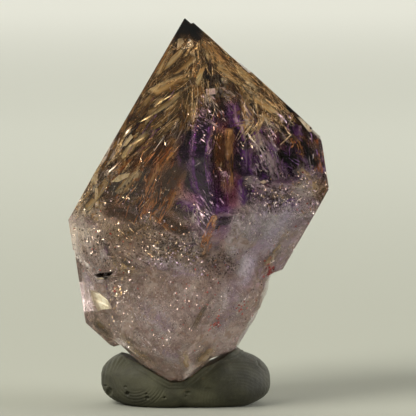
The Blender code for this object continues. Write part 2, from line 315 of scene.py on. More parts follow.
def crystal_material():
    material, web, shader = new_material("amethyst_quartz")
    place = web.crystal_place()
    drift = web.noise_node(place, 0.12, 3.0, 0.55).outputs["Color"]
    warp = web.vector("SCALE", web.vector("SUBTRACT", drift, (0.5, 0.5, 0.5)), (0, 0, 0))
    warp.node.inputs["Scale"].default_value = FACE_DRIFT
    bent = web.vector("ADD", place, warp)

    colour = FACE_TINT
    for *oval, tint in FACE_ZONES:
        colour = web.mix(web.inside(bent, *oval), colour, tint)
    # Painted shade: the tip's tint is near black, darker than its smoky colour.
    colour = web.mix(web.inside(place, *TIP_SMOKE_AND_PAINTED_SHADE), colour, TIP_SMOKE_AND_PAINTED_SHADE_TINT)
    web.feed(colour, shader.inputs["Base Color"])
    web.fill(shader, {"Transmission Weight": 1.0, "IOR": QUARTZ_IOR, "Specular IOR Level": 0.3})

    cloudy = web.span(web.split(bent)["Z"], CLOUDY_FROM, CLOUDY_TO)
    grain = web.noise(place, 1.6, 4.0, 0.6)
    rough = web.math("MULTIPLY_ADD", cloudy, web.span(grain, 0.3, 0.7, 0.0, 0.11), 0.0)
    web.feed(rough, shader.inputs["Roughness"])
    web.absorb(QUARTZ_TINT, QUARTZ_DENSITY)
    return material


def crystal_point(right, away, up):
    """Place given in crystal axes, in millimetres from the tip."""
    return TIP + (ACROSS * right + AWAY * away + UP * up) * MM


def picture_turn(azimuth):
    """Turn that takes the photograph's viewing side to another side of the object."""
    return Matrix.Rotation(math.radians(azimuth), 3, "Z")


def bent_ray(aim, normal):
    """Direction of a ray inside the quartz."""
    if normal.dot(aim) > 0.0:
        normal = -normal
    ratio = 1.0 / QUARTZ_IOR
    cosine = -normal.dot(aim)
    inner = math.sqrt(1.0 - ratio * ratio * (1.0 - cosine * cosine))
    return (aim * ratio + normal * (ratio * cosine - inner)).normalized()


def entry(x, y, azimuth=0.0):
    """Where the sight line of a pixel meets the crystal: place, normal and way on inside, or None."""
    turn = picture_turn(azimuth)
    eye = turn @ EYE
    aim = (turn @ picture_point(x, y) - eye).normalized()
    skin, normal, _, _ = SKIN.ray_cast(eye, aim)
    if skin is None:
        return None
    return skin, normal, bent_ray(aim, normal)


def pixel_of(place, azimuth=0.0):
    """Pixel at which a place shows, seen from a side of the object."""
    offset = picture_turn(-azimuth) @ place - EYE
    reach = DISTANCE / (MM_PER_PIXEL * MM) / offset.dot(world_direction(0.0, 0.0, 1.0))
    right = offset.dot(world_direction(1.0, 0.0, 0.0)) * reach
    up = offset.dot(world_direction(0.0, 1.0, 0.0)) * reach
    return Vector((IMAGE_SIDE / 2 + right, IMAGE_SIDE / 2 - up))


# Least slope of a face to the light that counts as lit, and the light that a plate mirrors elsewhere.
LEAST_LIT = 0.1
OTHER_LIGHT = (0.0, 0.8, 0.6)


def facing(x, y, azimuth=0.0):
    """Way that a plate inside the crystal faces to mirror the brightest light to the viewer of a pixel."""
    met = entry(x, y, azimuth)
    if met is None:
        return world_direction(0.0, 0.0, -1.0)
    skin, normal, inward = met
    to_light = (Vector(KEY_PLACE) - skin).normalized()
    if normal.dot(to_light) < LEAST_LIT:
        to_light = Vector(OTHER_LIGHT)
    if normal.dot(to_light) < LEAST_LIT:
        return -inward
    return (-inward - bent_ray(-to_light, normal)).normalized()


def seen(x, y, depth, azimuth=0.0):
    """Place that shows at a pixel, depth millimetres below the crystal's face, or None beside the crystal."""
    met = entry(x, y, azimuth)
    if met is None:
        return None
    skin, _, inward = met
    far = SKIN.ray_cast(skin + inward * 1e-5, inward)[0]
    if far is None:
        return None
    room = (far - skin).length
    if room < 3.0 * LEAST_COVER * MM:
        return None
    return skin + inward * min(max(depth, LEAST_COVER) * MM, room - LEAST_COVER * MM)


def smooth_path(points, count):
    """Points along a smooth curve through the given ones."""
    ends = [points[0]] + list(points) + [points[-1]]
    out = []
    for step in range(count):
        where = step / (count - 1) * (len(points) - 1)
        index = min(int(where), len(points) - 2)
        t = where - index
        a, b, c, d = (Vector(ends[index + k]) for k in range(4))
        bend = 2 * b + (c - a) * t + (2 * a - 5 * b + 4 * c - d) * t * t + (3 * b - a - 3 * c + d) * t ** 3
        out.append(bend * 0.5)
    return out


def faded(share, hard_start, hard_end):
    """Share of the way across a film, from 0 to 1, moved off an end that doesn't fade out."""
    low = 0.5 if hard_start else 0.0
    high = 0.5 if hard_end else 1.0
    return low + (high - low) * share


# A film's mesh step in pixels, its width at the ends as a share, and the shares tried where it would leave.
FILM_STEP = 4
END_WIDTH = 0.35
PULLS = (1.0, 0.85, 0.7, 0.5, 0.3, 0.1, 0.0)


def veil(bm, path, width, depth, hard="", azimuth=0.0, seed=0):
    """Thin closed lens along a path in the picture. hard names the sides that don't fade out.

    Path points are (x, y), and width and depth are (start, end).
    In hard, s is the start, f the finish, and a and b are the two long sides.
    """
    flow = bm.loops.layers.uv.get("flow") or bm.loops.layers.uv.new("flow")
    border = bm.loops.layers.uv.get("border") or bm.loops.layers.uv.new("border")
    length = sum((Vector(b) - Vector(a)).length for a, b in zip(path, path[1:]))
    rows = max(8, int(length / FILM_STEP))
    columns = max(5, int(max(width) / FILM_STEP))
    spine = smooth_path(path, rows)
    shift = Vector((seed * 7.31 % 50.0, seed * 3.77 % 50.0))
    eye = picture_turn(azimuth) @ EYE
    sides = ([], [])
    spots = []
    marks = []
    run = 0.0
    for row, middle in enumerate(spine):
        if row:
            run += (middle - spine[row - 1]).length
        t = row / (rows - 1)
        ahead = (spine[min(row + 1, rows - 1)] - spine[max(row - 1, 0)]).normalized()
        beside = Vector((-ahead.y, ahead.x))
        wide = width[0] + (width[1] - width[0]) * t
        if not hard:
            wide *= END_WIDTH + (1.0 - END_WIDTH) * math.sin(math.pi * (0.12 + 0.76 * t))
        deep = depth[0] + (depth[1] - depth[0]) * t
        for column in range(columns):
            s = column / (columns - 1)
            wave = noise.noise(Vector((run * 0.03, s * 2.0, seed * 5.1)))
            spot = None
            for pull in PULLS:
                at = middle + beside * ((s - 0.5) * wide * pull)
                spot = seen(at.x, at.y, deep * (1.0 + 0.5 * wave), azimuth)
                if spot is not None:
                    break
            if spot is None:
                return
            rim = row in (0, rows - 1) or column in (0, columns - 1)
            spots.append((spot, rim))
            place = shift + Vector((run, (s - 0.5) * wide)) * MM_PER_PIXEL
            share = Vector((faded(t, "s" in hard, "f" in hard), faded(s, "a" in hard, "b" in hard)))
            marks.append((place, share))
    for spot, rim in spots:
        away = (eye - spot).normalized() * (VEIL_THICK * MM * 0.5)
        front = bm.verts.new(spot if rim else spot + away)
        sides[0].append(front)
        sides[1].append(front if rim else bm.verts.new(spot - away))
    for side, verts in enumerate(sides):
        for row in range(rows - 1):
            for column in range(columns - 1):
                a = row * columns + column
                ring = (a, a + 1, a + columns + 1, a + columns)
                ring = ring if side == 0 else ring[::-1]
                face = bm.faces.new([verts[k] for k in ring])
                face.smooth = True
                for loop, k in zip(face.loops, ring):
                    loop[flow].uv, loop[border].uv = marks[k]


# Share of a film, along and across, over which it fades out at its edges, where it isn't the usual one.
FADES = {
    "mist_veils": (0.5, 0.5),
    "lens_veils": (0.22, 0.20),
    "olive_veils": (0.4, 0.5),
    "bright_veils": (0.4, 0.5),
    "amber_veils": (0.3, 0.4),
}
USUAL_FADE = (0.22, 0.30)
# Dark rim of the lens films, and the marbling of every film's tone.
LENS_RIM = (0.06, 0.03, 0.014)
MARBLE = {"Scale": 0.11, "Distortion": 7.0, "Detail": 5.0, "Detail Scale": 1.6, "Detail Roughness": 0.62}


def veil_material(name, dark, light, painted_glint, grain, opacity, glow, mirror, cut):
    """Streaked veil: colours, the last one a painted glint on thin bands of the tone, grain along and across
    in 1/mm, most opacity, shares as in see_through.
    """
    material, web = film_material(name)
    plain = web.add("ShaderNodeUVMap", uv_map="flow").outputs["UV"]
    flow = web.moved(plain, scale=(grain[0], grain[1], 1.0))
    fine = web.noise(flow, 1.0, 6.0, 0.66, 1.4)
    stretched = web.moved(flow, (5.0, 8.0, 1.0), scale=(0.7, 0.25, 1.0))
    broad = web.noise(stretched, 1.0, 3.0, 0.6, 1.0)
    streak = web.math("MULTIPLY_ADD", broad, 0.4, web.math("MULTIPLY", fine, 0.6))
    marble = web.add("ShaderNodeTexWave", wave_type="BANDS", bands_direction="Y")
    web.fill(marble, {"Vector": web.moved(plain, scale=(0.30, 0.8, 1.0)), **MARBLE})
    grainy = web.noise(web.moved(flow, (9.0, 4.0, 2.0)), 1.1, 6.0, 0.72, 1.2)
    tone = web.math("MULTIPLY_ADD", marble.outputs["Fac"], 0.4, web.math("MULTIPLY", grainy, 0.6))
    colour = web.mix(web.span(tone, 0.36, 0.62), dark, light)
    # Painted glint: thin bands of the tone take the glint colour.
    colour = web.mix(web.span(tone, 0.64, 0.70), colour, painted_glint)
    edge = web.split(web.add("ShaderNodeUVMap", uv_map="border").outputs["UV"])
    fade = 1.0
    inner = 1.0
    for axis, reach in zip("XY", FADES.get(name, USUAL_FADE)):
        near = web.math("PINGPONG", edge[axis], 0.5)
        near = web.math("MULTIPLY_ADD", web.math("SUBTRACT", grainy, 0.5), reach, near)
        fade = web.math("MULTIPLY", web.span(near, 0.0, reach), fade)
        inner = web.math("MULTIPLY", web.span(near, 0.06, 0.24), inner)
    if name == "lens_veils":
        colour = web.mix(web.math("MULTIPLY_ADD", inner, 0.75, 0.25), LENS_RIM, colour)
    cover = web.math("MULTIPLY", web.span(streak, *cut), web.math("MULTIPLY", fade, opacity))
    turned = web.moved(flow, (3.0, 1.0, 4.0), scale=(1.2, 0.7, 1.0))
    relief = web.bump(web.noise(turned, 1.0, 3.0, 0.55, 2.0), 1.0, 0.0016)
    web.feed(see_through(web, colour, cover, glow, mirror, relief), web.output().inputs["Surface"])
    return material


def piece_from(bm, name, material):
    """Makes a piece of the object from a bmesh."""
    bmesh.ops.recalc_face_normals(bm, faces=bm.faces)
    mesh = mesh_from(bm, name)
    piece = placed(name, mesh)
    mesh.materials.append(material)
    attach(piece, "root")


# The sides that the photograph doesn't show, as turns from it in degrees.
SIDES = (58, 118, 180, 240, 302)
# The crystal's foot from its tip in millimetres, and the search step for its edges in pixels.
FOOT = -56.0
EDGE_STEP = 2.0
# A row's reach from the middle of the width, spreads of a path's shift, and its limits down and across.
EDGE_SHARE = 0.46
SHIFT_DOWN = 0.02
SHIFT_ACROSS = 0.10
LEAST_DOWN = 0.04
MOST_ACROSS = 0.95


def side_pixel(azimuth, down, across):
    """Pixel in the picture of a side: share of the way down the crystal, and -1 at its left edge to 1."""
    top = pixel_of(TIP, azimuth)
    foot = pixel_of(crystal_point(0.0, 0.0, FOOT), azimuth)
    at = top.lerp(foot, down)
    edges = []
    for step in (-EDGE_STEP, EDGE_STEP):
        x = at.x
        while entry(x + step, at.y, azimuth) is not None:
            x += step
        edges.append(x)
    return Vector((edges[0] + (edges[1] - edges[0]) * (0.5 + EDGE_SHARE * across), at.y))


def side_path(azimuth, guide, chance):
    """Path in the picture of a side, moved a little and often mirrored, from (down, across) shares."""
    flip = chance.choice((-1.0, 1.0))
    shift = (chance.gauss(0.0, SHIFT_DOWN), chance.gauss(0.0, SHIFT_ACROSS))
    path = []
    for down, across in guide:
        across = max(-MOST_ACROSS, min(MOST_ACROSS, across * flip + shift[1]))
        path.append(tuple(side_pixel(azimuth, max(LEAST_DOWN, down + shift[0]), across)))
    return path


# Films, strands and slivers of the other sides, placed by shares of the way down and across.
SIDE_VEILS = {
    "smoky_veils": (
        ([(0.07, 0.0), (0.20, -0.4), (0.38, -0.7)], (28, 50), (1.6, 2.0)),
        ([(0.08, 0.2), (0.20, 0.4), (0.34, 0.6)], (24, 40), (2.4, 3.0)),
        ([(0.12, 0.0), (0.28, 0.1), (0.42, 0.0)], (28, 44), (4.0, 5.0)),
        ([(0.20, -0.6), (0.28, -0.1), (0.32, 0.4)], (26, 30), (3.0, 3.0)),
    ),
    "gold_veils": (
        ([(0.08, -0.5), (0.20, -0.7), (0.36, -0.8)], (12, 16), (0.8, 1.0)),
        ([(0.09, 0.5), (0.22, 0.7), (0.34, 0.8)], (14, 18), (0.8, 1.0)),
        ([(0.10, 0.0), (0.17, -0.1), (0.26, -0.3)], (14, 14), (1.2, 1.4)),
    ),
    "dark_veils": (
        ([(0.05, 0.4), (0.16, 0.6), (0.30, 0.8)], (8, 14), (1.8, 2.4)),
        ([(0.20, 0.5), (0.28, 0.6), (0.36, 0.7)], (20, 26), (2.6, 3.0)),
    ),
    "violet_veils": (
        ([(0.22, 0.1), (0.34, 0.05), (0.48, 0.1)], (24, 26), (2.4, 2.4)),
        ([(0.28, 0.5), (0.38, 0.45), (0.48, 0.4)], (22, 24), (2.8, 2.8)),
        ([(0.44, -0.4), (0.48, 0.0), (0.46, 0.4)], (24, 24), (3.0, 3.0)),
    ),
    "pale_veils": (
        ([(0.18, 0.2), (0.32, 0.35), (0.46, 0.3)], (24, 28), (1.6, 1.8)),
        ([(0.48, -0.6), (0.50, 0.0), (0.48, 0.6)], (36, 40), (1.6, 1.6)),
    ),
    "rust_veils": (
        ([(0.36, -0.5), (0.42, -0.4), (0.48, -0.3)], (28, 32), (1.8, 2.0)),
    ),
    "mist_veils": (
        ([(0.50, 0.5), (0.58, 0.4), (0.66, 0.4)], (38, 38), (0.9, 0.9)),
        ([(0.66, -0.4), (0.74, -0.2), (0.84, 0.0)], (38, 36), (1.0, 1.0)),
        ([(0.56, -0.7), (0.60, -0.2), (0.58, 0.3)], (26, 26), (0.9, 0.9)),
    ),
    "lens_veils": (
        ([(0.12, 0.1), (0.16, -0.1), (0.22, -0.4)], (15, 16), (0.8, 0.8)),
        ([(0.18, 0.2), (0.24, -0.1), (0.30, -0.4)], (16, 18), (1.0, 1.0)),
        ([(0.24, -0.3), (0.30, -0.5), (0.36, -0.6)], (12, 14), (0.8, 0.8)),
        ([(0.16, 0.4), (0.22, 0.55), (0.28, 0.65)], (11, 12), (0.8, 0.8)),
    ),
    "olive_veils": (
        ([(0.68, 0.2), (0.74, 0.15), (0.80, 0.1)], (9, 8), (0.8, 0.8)),
        ([(0.60, -0.5), (0.64, -0.3), (0.66, -0.1)], (18, 20), (1.0, 1.0)),
    ),
}
SIDE_STRANDS = {
    "gold_strands": (
        ([(0.07, 0.5), (0.18, 0.65), (0.34, 0.8)], 8, 26, (0.4, 1.0), (1.5, 5.0), (0.08, 0.2)),
        ([(0.07, -0.4), (0.20, -0.6), (0.36, -0.8)], 10, 26, (0.4, 1.1), (1.0, 5.0), (0.08, 0.2)),
        ([(0.14, 0.1), (0.24, -0.2), (0.36, -0.5)], 18, 28, (0.5, 1.6), (1.0, 4.5), (0.08, 0.18)),
    ),
    "tan_strands": (
        ([(0.12, 0.1), (0.22, -0.2), (0.34, -0.4)], 18, 22, (0.8, 2.2), (2.0, 6.0), (0.12, 0.3)),
    ),
    "silver_strands": (
        ([(0.16, 0.3), (0.28, 0.45), (0.40, 0.5)], 18, 34, (0.4, 1.4), (0.8, 4.0), (0.06, 0.16)),
        ([(0.36, 0.0), (0.44, 0.05), (0.52, 0.0)], 24, 14, (0.4, 1.4), (0.5, 2.4), (0.06, 0.16)),
        ([(0.50, -0.5), (0.60, -0.4), (0.70, -0.3)], 22, 24, (0.4, 0.9), (0.3, 1.4), (0.06, 0.16)),
        ([(0.54, 0.4), (0.64, 0.4), (0.74, 0.3)], 22, 24, (0.4, 0.9), (0.3, 1.4), (0.06, 0.16)),
    ),
    "brown_strands": (
        ([(0.08, 0.1), (0.22, -0.2), (0.38, -0.5)], 30, 46, (0.4, 1.8), (1.2, 6.0), (0.08, 0.2)),
        ([(0.06, 0.5), (0.18, 0.65), (0.32, 0.8)], 10, 24, (0.4, 1.2), (1.0, 5.0), (0.08, 0.2)),
        ([(0.22, 0.5), (0.28, 0.6), (0.34, 0.6)], 16, 12, (0.4, 1.4), (0.8, 3.0), (0.1, 0.26)),
    ),
    "violet_strands": (
        ([(0.22, 0.1), (0.34, 0.05), (0.46, 0.1)], 18, 10, (0.5, 1.8), (0.8, 3.6), (0.08, 0.24)),
        ([(0.30, 0.4), (0.40, 0.4), (0.48, 0.4)], 18, 8, (0.5, 1.6), (0.8, 3.0), (0.08, 0.2)),
    ),
    "rust_strands": (
        ([(0.34, -0.5), (0.42, -0.4), (0.50, -0.3)], 16, 20, (0.4, 1.2), (0.8, 3.6), (0.08, 0.2)),
    ),
}
SIDE_SHARDS = {
    "white_glints": (
        ((0.50, 0.0), (70, 20), 0, 160, (0.35, 0.8), (0.2, 0.5), (0.14, 0.28), None),
        ((0.66, 0.0), (60, 50), 0, 150, (0.35, 0.8), (0.2, 0.5), (0.12, 0.24), None),
        ((0.34, 0.4), (20, 34), -20, 50, (0.4, 1.2), (0.3, 1.2), (0.12, 0.24), -60),
    ),
    "dark_specks": (
        ((0.54, 0.0), (70, 24), 0, 260, (0.35, 0.8), (0.2, 0.5), (0.14, 0.3), None),
        ((0.70, 0.0), (60, 44), 0, 140, (0.35, 0.8), (0.16, 0.4), (0.12, 0.24), None),
    ),
    "red_flecks": (
        ((0.70, 0.1), (60, 40), 0, 24, (0.35, 0.6), (0.24, 0.6), (0.16, 0.3), None),
    ),
    "gold_slivers": (
        ((0.48, 0.0), (60, 18), 0, 60, (0.35, 0.9), (0.2, 0.5), (0.14, 0.26), None),
    ),
    "lilac_slivers": (
        ((0.56, 0.1), (50, 20), 0, 90, (0.35, 0.8), (0.2, 0.45), (0.12, 0.24), None),
    ),
}


# Veils: path in photo pixels, width in pixels and depth in millimetres at both ends, and hard sides.
SMOKY_VEILS = (
    ([(178, 44), (152, 92), (122, 146), (96, 196), (80, 226)], (36, 52), (1.2, 1.6)),
    ([(204, 62), (176, 106), (146, 152), (118, 204)], (38, 54), (2.6, 3.0)),
    ([(216, 84), (184, 124), (150, 172), (128, 220)], (28, 46), (4.6, 5.0)),
    ([(196, 52), (196, 92), (180, 140), (160, 190)], (28, 36), (6.0, 8.0)),
    ([(150, 106), (176, 94), (206, 78)], (28, 24), (2.0, 2.6)),
    ([(110, 160), (150, 190), (186, 214)], (38, 30), (6.0, 6.0)),
    ([(196, 36), (236, 70), (282, 114)], (20, 30), (1.4, 1.8)),
    ([(216, 96), (250, 100), (284, 110)], (26, 30), (3.0, 3.0)),
    ([(196, 66), (214, 88), (232, 92)], (30, 24), (3.0, 3.4)),
    ([(150, 250), (200, 256), (250, 246)], (30, 34), (5.0, 5.0)),
    ([(226, 128), (224, 160), (224, 196)], (18, 20), (1.2, 1.2), "sab"),
    ([(202, 48), (208, 70), (212, 92)], (16, 20), (1.6, 2.2)),
)
GOLD_VEILS = (
    ([(176, 40), (150, 84), (122, 132), (92, 186)], (14, 18), (0.8, 1.0)),
    ([(208, 50), (240, 76), (278, 112)], (20, 26), (1.2, 1.4)),
    ([(262, 96), (280, 112), (296, 126)], (16, 16), (0.9, 1.0)),
    ([(188, 42), (196, 60), (196, 84)], (16, 16), (1.0, 1.4)),
    ([(256, 108), (274, 124), (292, 142)], (12, 14), (1.0, 1.4)),
    ([(204, 84), (182, 104), (160, 118)], (16, 12), (1.4, 1.6)),
    ([(172, 130), (146, 150), (120, 180)], (14, 16), (1.6, 1.8)),
)
PALE_VEILS = (
    ([(222, 90), (248, 120), (270, 160), (284, 196)], (24, 34), (1.6, 2.0)),
    ([(206, 92), (204, 104), (206, 118)], (16, 16), (1.6, 1.8)),
    ([(200, 206), (198, 222), (200, 240)], (22, 22), (1.0, 1.0)),
    ([(128, 124), (110, 160), (92, 198)], (10, 14), (0.8, 0.9)),
    ([(140, 232), (190, 238), (240, 226), (286, 214)], (40, 50), (1.6, 1.6)),
    ([(246, 200), (264, 222), (272, 250)], (40, 44), (1.2, 1.2)),
    ([(84, 216), (96, 240), (110, 266)], (16, 22), (1.0, 1.0)),
    ([(200, 80), (220, 92), (236, 100)], (16, 18), (2.2, 2.2)),
)
RUST_VEILS = (
    ([(162, 190), (150, 206), (136, 228)], (28, 36), (2.0, 2.2)),
    ([(128, 166), (118, 184), (104, 204)], (40, 40), (4.0, 4.0)),
    ([(216, 212), (208, 236), (200, 258)], (10, 14), (0.7, 0.7)),
    ([(168, 196), (158, 206), (150, 216)], (12, 14), (0.8, 0.8)),
    ([(290, 134), (298, 148), (302, 160)], (12, 10), (1.0, 1.2)),
)
# Dark films: dark inclusions, plus thin near-black films along the upper right and left edges and by the tip
# as painted shade where the faces turn light back inside.
DARK_VEILS_AND_EDGE_SHADE = (
    ([(186, 22), (214, 46), (250, 80), (290, 118)], (8, 11), (2.0, 3.0)),
    ([(266, 102), (290, 124), (312, 150)], (34, 38), (3.0, 3.6)),
    ([(182, 24), (140, 98), (108, 156), (78, 212)], (5, 7), (0.5, 0.5)),
    ([(134, 130), (108, 166), (88, 204)], (26, 30), (4.0, 4.0)),
    ([(221, 132), (212, 152), (210, 190)], (12, 14), (1.6, 1.6), "b"),
    ([(181, 26), (192, 30), (204, 42)], (14, 10), (0.8, 0.8)),
    ([(298, 138), (310, 150), (320, 164)], (26, 22), (1.2, 1.2)),
    ([(276, 150), (292, 160), (306, 170)], (16, 16), (1.8, 1.8)),
)
MIST_VEILS = (
    ([(296, 196), (276, 220), (262, 246), (248, 268)], (30, 34), (0.9, 0.9)),
    ([(264, 200), (252, 224), (240, 250)], (34, 34), (1.5, 1.5)),
    ([(256, 238), (246, 262), (240, 284)], (30, 26), (0.9, 0.9)),
    ([(122, 270), (150, 262), (190, 272), (226, 266)], (22, 24), (0.8, 0.8)),
    ([(130, 296), (156, 316), (180, 344)], (40, 40), (1.0, 1.0)),
    ([(232, 276), (228, 306), (208, 344)], (44, 36), (0.9, 0.9)),
    ([(150, 344), (174, 358), (200, 362)], (22, 18), (0.6, 0.6)),
    ([(83, 262), (87, 280), (92, 300)], (10, 14), (0.5, 0.5)),
    ([(78, 212), (90, 226), (110, 236)], (20, 26), (0.9, 0.9)),
    ([(302, 172), (310, 184), (314, 196)], (26, 22), (0.9, 0.9)),
    ([(280, 206), (296, 206), (310, 200)], (14, 10), (0.6, 0.6)),
    ([(206, 88), (210, 98), (212, 108)], (12, 14), (1.4, 1.4)),
)
AMBER_VEILS = (
    ([(172, 134), (152, 164), (136, 198)], (42, 46), (1.0, 1.0)),
    ([(142, 152), (120, 180), (100, 206)], (34, 36), (0.9, 0.9)),
    ([(182, 160), (168, 188), (158, 216)], (30, 32), (0.9, 0.9)),
    ([(100, 206), (120, 214), (146, 216)], (22, 22), (0.7, 0.7)),
    ([(150, 208), (170, 224), (192, 236)], (20, 20), (0.8, 0.8)),
    ([(224, 130), (220, 148), (222, 176)], (16, 16), (0.9, 0.9)),
    ([(214, 96), (220, 110), (222, 124)], (14, 14), (1.6, 1.6)),
)
LENS_VEILS = (
    ([(196, 54), (184, 64), (168, 74)], (13, 15), (0.8, 0.8)),
    ([(204, 72), (184, 80), (160, 90), (146, 96)], (17, 19), (1.0, 1.0)),
    ([(200, 92), (182, 104), (160, 120), (146, 130)], (14, 15), (0.9, 0.9)),
    ([(196, 112), (176, 124), (156, 138)], (12, 14), (1.2, 1.2)),
    ([(156, 92), (144, 108), (134, 124)], (12, 14), (0.8, 0.8)),
    ([(138, 116), (126, 132), (118, 148)], (9, 10), (0.6, 0.6)),
    ([(152, 130), (134, 146), (118, 162)], (12, 12), (0.8, 0.8)),
    ([(180, 134), (160, 150), (142, 160)], (10, 12), (1.2, 1.2)),
    ([(174, 48), (164, 62), (156, 78)], (8, 10), (0.6, 0.6)),
    ([(214, 62), (228, 74), (246, 86)], (13, 13), (0.9, 0.9)),
    ([(110, 176), (96, 196), (84, 212)], (10, 12), (0.7, 0.7)),
    ([(250, 94), (266, 106), (282, 118)], (8, 10), (0.9, 0.9)),
    ([(142, 168), (128, 184), (114, 196)], (15, 15), (0.9, 0.9)),
    ([(206, 60), (200, 74), (196, 90)], (7, 8), (0.7, 0.7)),
)
OLIVE_VEILS = (
    ([(209, 300), (200, 316), (190, 334)], (8, 7), (0.7, 0.7)),
    ([(200, 62), (184, 74), (160, 82)], (22, 26), (1.6, 1.6)),
    ([(196, 84), (176, 100), (152, 112)], (22, 20), (1.6, 1.6)),
    ([(120, 330), (138, 352), (160, 368)], (12, 14), (0.7, 0.7)),
    ([(108, 250), (124, 266), (142, 274)], (20, 20), (0.9, 0.9)),
    ([(190, 345), (196, 358), (200, 370)], (24, 18), (1.2, 1.2)),
    ([(286, 236), (272, 256), (262, 268)], (10, 10), (0.6, 0.6)),
    ([(296, 164), (310, 180), (316, 198)], (30, 24), (0.8, 0.8)),
    ([(216, 344), (205, 356), (194, 368)], (20, 14), (0.5, 0.5)),
    ([(182, 350), (186, 362), (188, 372)], (18, 12), (0.5, 0.5)),
    ([(91, 316), (103, 329), (112, 340)], (16, 14), (0.5, 0.5)),
)
PALE_FILMS = (
    ([(296, 206), (276, 226), (262, 248)], (30, 30), (0.5, 0.5)),
    ([(270, 204), (256, 224), (246, 248)], (26, 28), (0.7, 0.7)),
    ([(252, 246), (246, 268), (238, 288)], (24, 22), (0.6, 0.6)),
    ([(292, 212), (276, 236), (262, 258)], (30, 28), (0.8, 0.8)),
    ([(244, 208), (236, 236), (230, 262)], (26, 30), (1.0, 1.0)),
    ([(118, 134), (108, 152), (98, 170)], (6, 7), (0.5, 0.5)),
)
VIOLET_VEILS = (
    ([(203, 118), (200, 150), (208, 196)], (24, 22), (2.4, 2.4)),
    ([(236, 127), (240, 148), (240, 176)], (14, 14), (1.6, 1.8), "sa"),
    ([(232, 98), (232, 112), (236, 126)], (16, 20), (1.6, 1.6), "fa"),
    ([(208, 180), (210, 200), (206, 224)], (14, 14), (1.4, 1.4)),
    ([(262, 140), (276, 160), (290, 172)], (22, 26), (3.4, 3.4)),
    ([(170, 200), (200, 216), (240, 214)], (26, 26), (3.4, 3.4)),
    ([(194, 124), (190, 158), (196, 204)], (30, 34), (3.0, 3.0)),
    ([(207, 112), (201, 140), (200, 170), (207, 202)], (26, 28), (0.9, 0.9)),
    ([(190, 122), (184, 144), (184, 170)], (18, 20), (1.8, 1.8)),
    ([(240, 152), (246, 180), (250, 210)], (26, 30), (2.8, 2.8)),
    ([(186, 60), (212, 92), (206, 120)], (8, 10), (3.4, 3.4)),
    ([(258, 196), (280, 206), (300, 200)], (22, 22), (2.4, 2.4)),
)


def make_veils():
    kinds = (
        # name, rows, dark, light, painted_glint, grain, opacity, glow, mirror, cut
        ("smoky_veils", SMOKY_VEILS, (0.19, 0.095, 0.032), (0.80, 0.55, 0.26), (1.0, 0.87, 0.58),
         (0.20, 0.9), 0.92, 0.6, 0.35, (0.40, 0.56)),
        ("gold_veils", GOLD_VEILS, (0.60, 0.34, 0.12), (1.0, 0.84, 0.52), (1.0, 0.97, 0.85),
         (0.22, 1.3), 0.95, 0.5, 0.6, (0.50, 0.55)),
        ("pale_veils", PALE_VEILS, (0.42, 0.30, 0.42), (0.94, 0.86, 0.92), (1.0, 1.0, 1.0),
         (0.35, 1.3), 0.9, 0.5, 0.5, (0.48, 0.56)),
        ("rust_veils", RUST_VEILS, (0.25, 0.08, 0.03), (0.95, 0.42, 0.15), (1.0, 0.70, 0.40),
         (0.28, 1.2), 0.9, 0.6, 0.3, (0.46, 0.56)),
        ("dark_veils", DARK_VEILS_AND_EDGE_SHADE, (0.012, 0.006, 0.004), (0.12, 0.06, 0.03), (0.40, 0.24, 0.10),
         (0.22, 1.1), 0.95, 0.3, 0.2, (0.40, 0.52)),
        ("violet_veils", VIOLET_VEILS, (0.07, 0.02, 0.13), (0.36, 0.14, 0.62), (0.82, 0.64, 0.96),
         (0.26, 0.5), 0.88, 0.65, 0.3, (0.32, 0.54)),
        ("mist_veils", MIST_VEILS, (0.62, 0.52, 0.62), (1.0, 0.95, 1.0), (1.0, 1.0, 1.0),
         (2.2, 2.6), 0.75, 0.45, 0.1, (0.36, 0.60)),
        ("amber_veils", AMBER_VEILS, (0.15, 0.050, 0.012), (0.48, 0.20, 0.06), (0.88, 0.54, 0.22),
         (0.3, 1.2), 0.80, 0.55, 0.15, (0.28, 0.48)),
        ("lens_veils", LENS_VEILS, (0.30, 0.18, 0.07), (0.86, 0.66, 0.35), (1.0, 0.93, 0.68),
         (0.20, 1.0), 0.82, 0.5, 0.35, (0.28, 0.56)),
        ("bright_veils", PALE_FILMS, (0.88, 0.82, 0.95), (1.0, 0.97, 1.0), (1.0, 1.0, 1.0),
         (0.7, 0.9), 0.95, 0.15, 0.3, (0.40, 0.54)),
        ("olive_veils", OLIVE_VEILS, (0.24, 0.16, 0.06), (0.66, 0.52, 0.28), (0.92, 0.80, 0.54),
         (0.25, 0.7), 0.75, 0.6, 0.2, (0.36, 0.54)),
    )
    for index, (name, rows, *look) in enumerate(kinds):
        bm = bmesh.new()
        for number, (path, width, depth, *hard) in enumerate(rows):
            veil(bm, path, width, depth, *hard, seed=index * 20 + number + 1)
        chance = random.Random(index)
        for azimuth in SIDES:
            for number, (path, width, depth) in enumerate(SIDE_VEILS.get(name, ())):
                seed = azimuth + index * 20 + number
                veil(bm, side_path(azimuth, path, chance), width, depth, azimuth=azimuth, seed=seed)
        piece_from(bm, name, veil_material(name, *look))


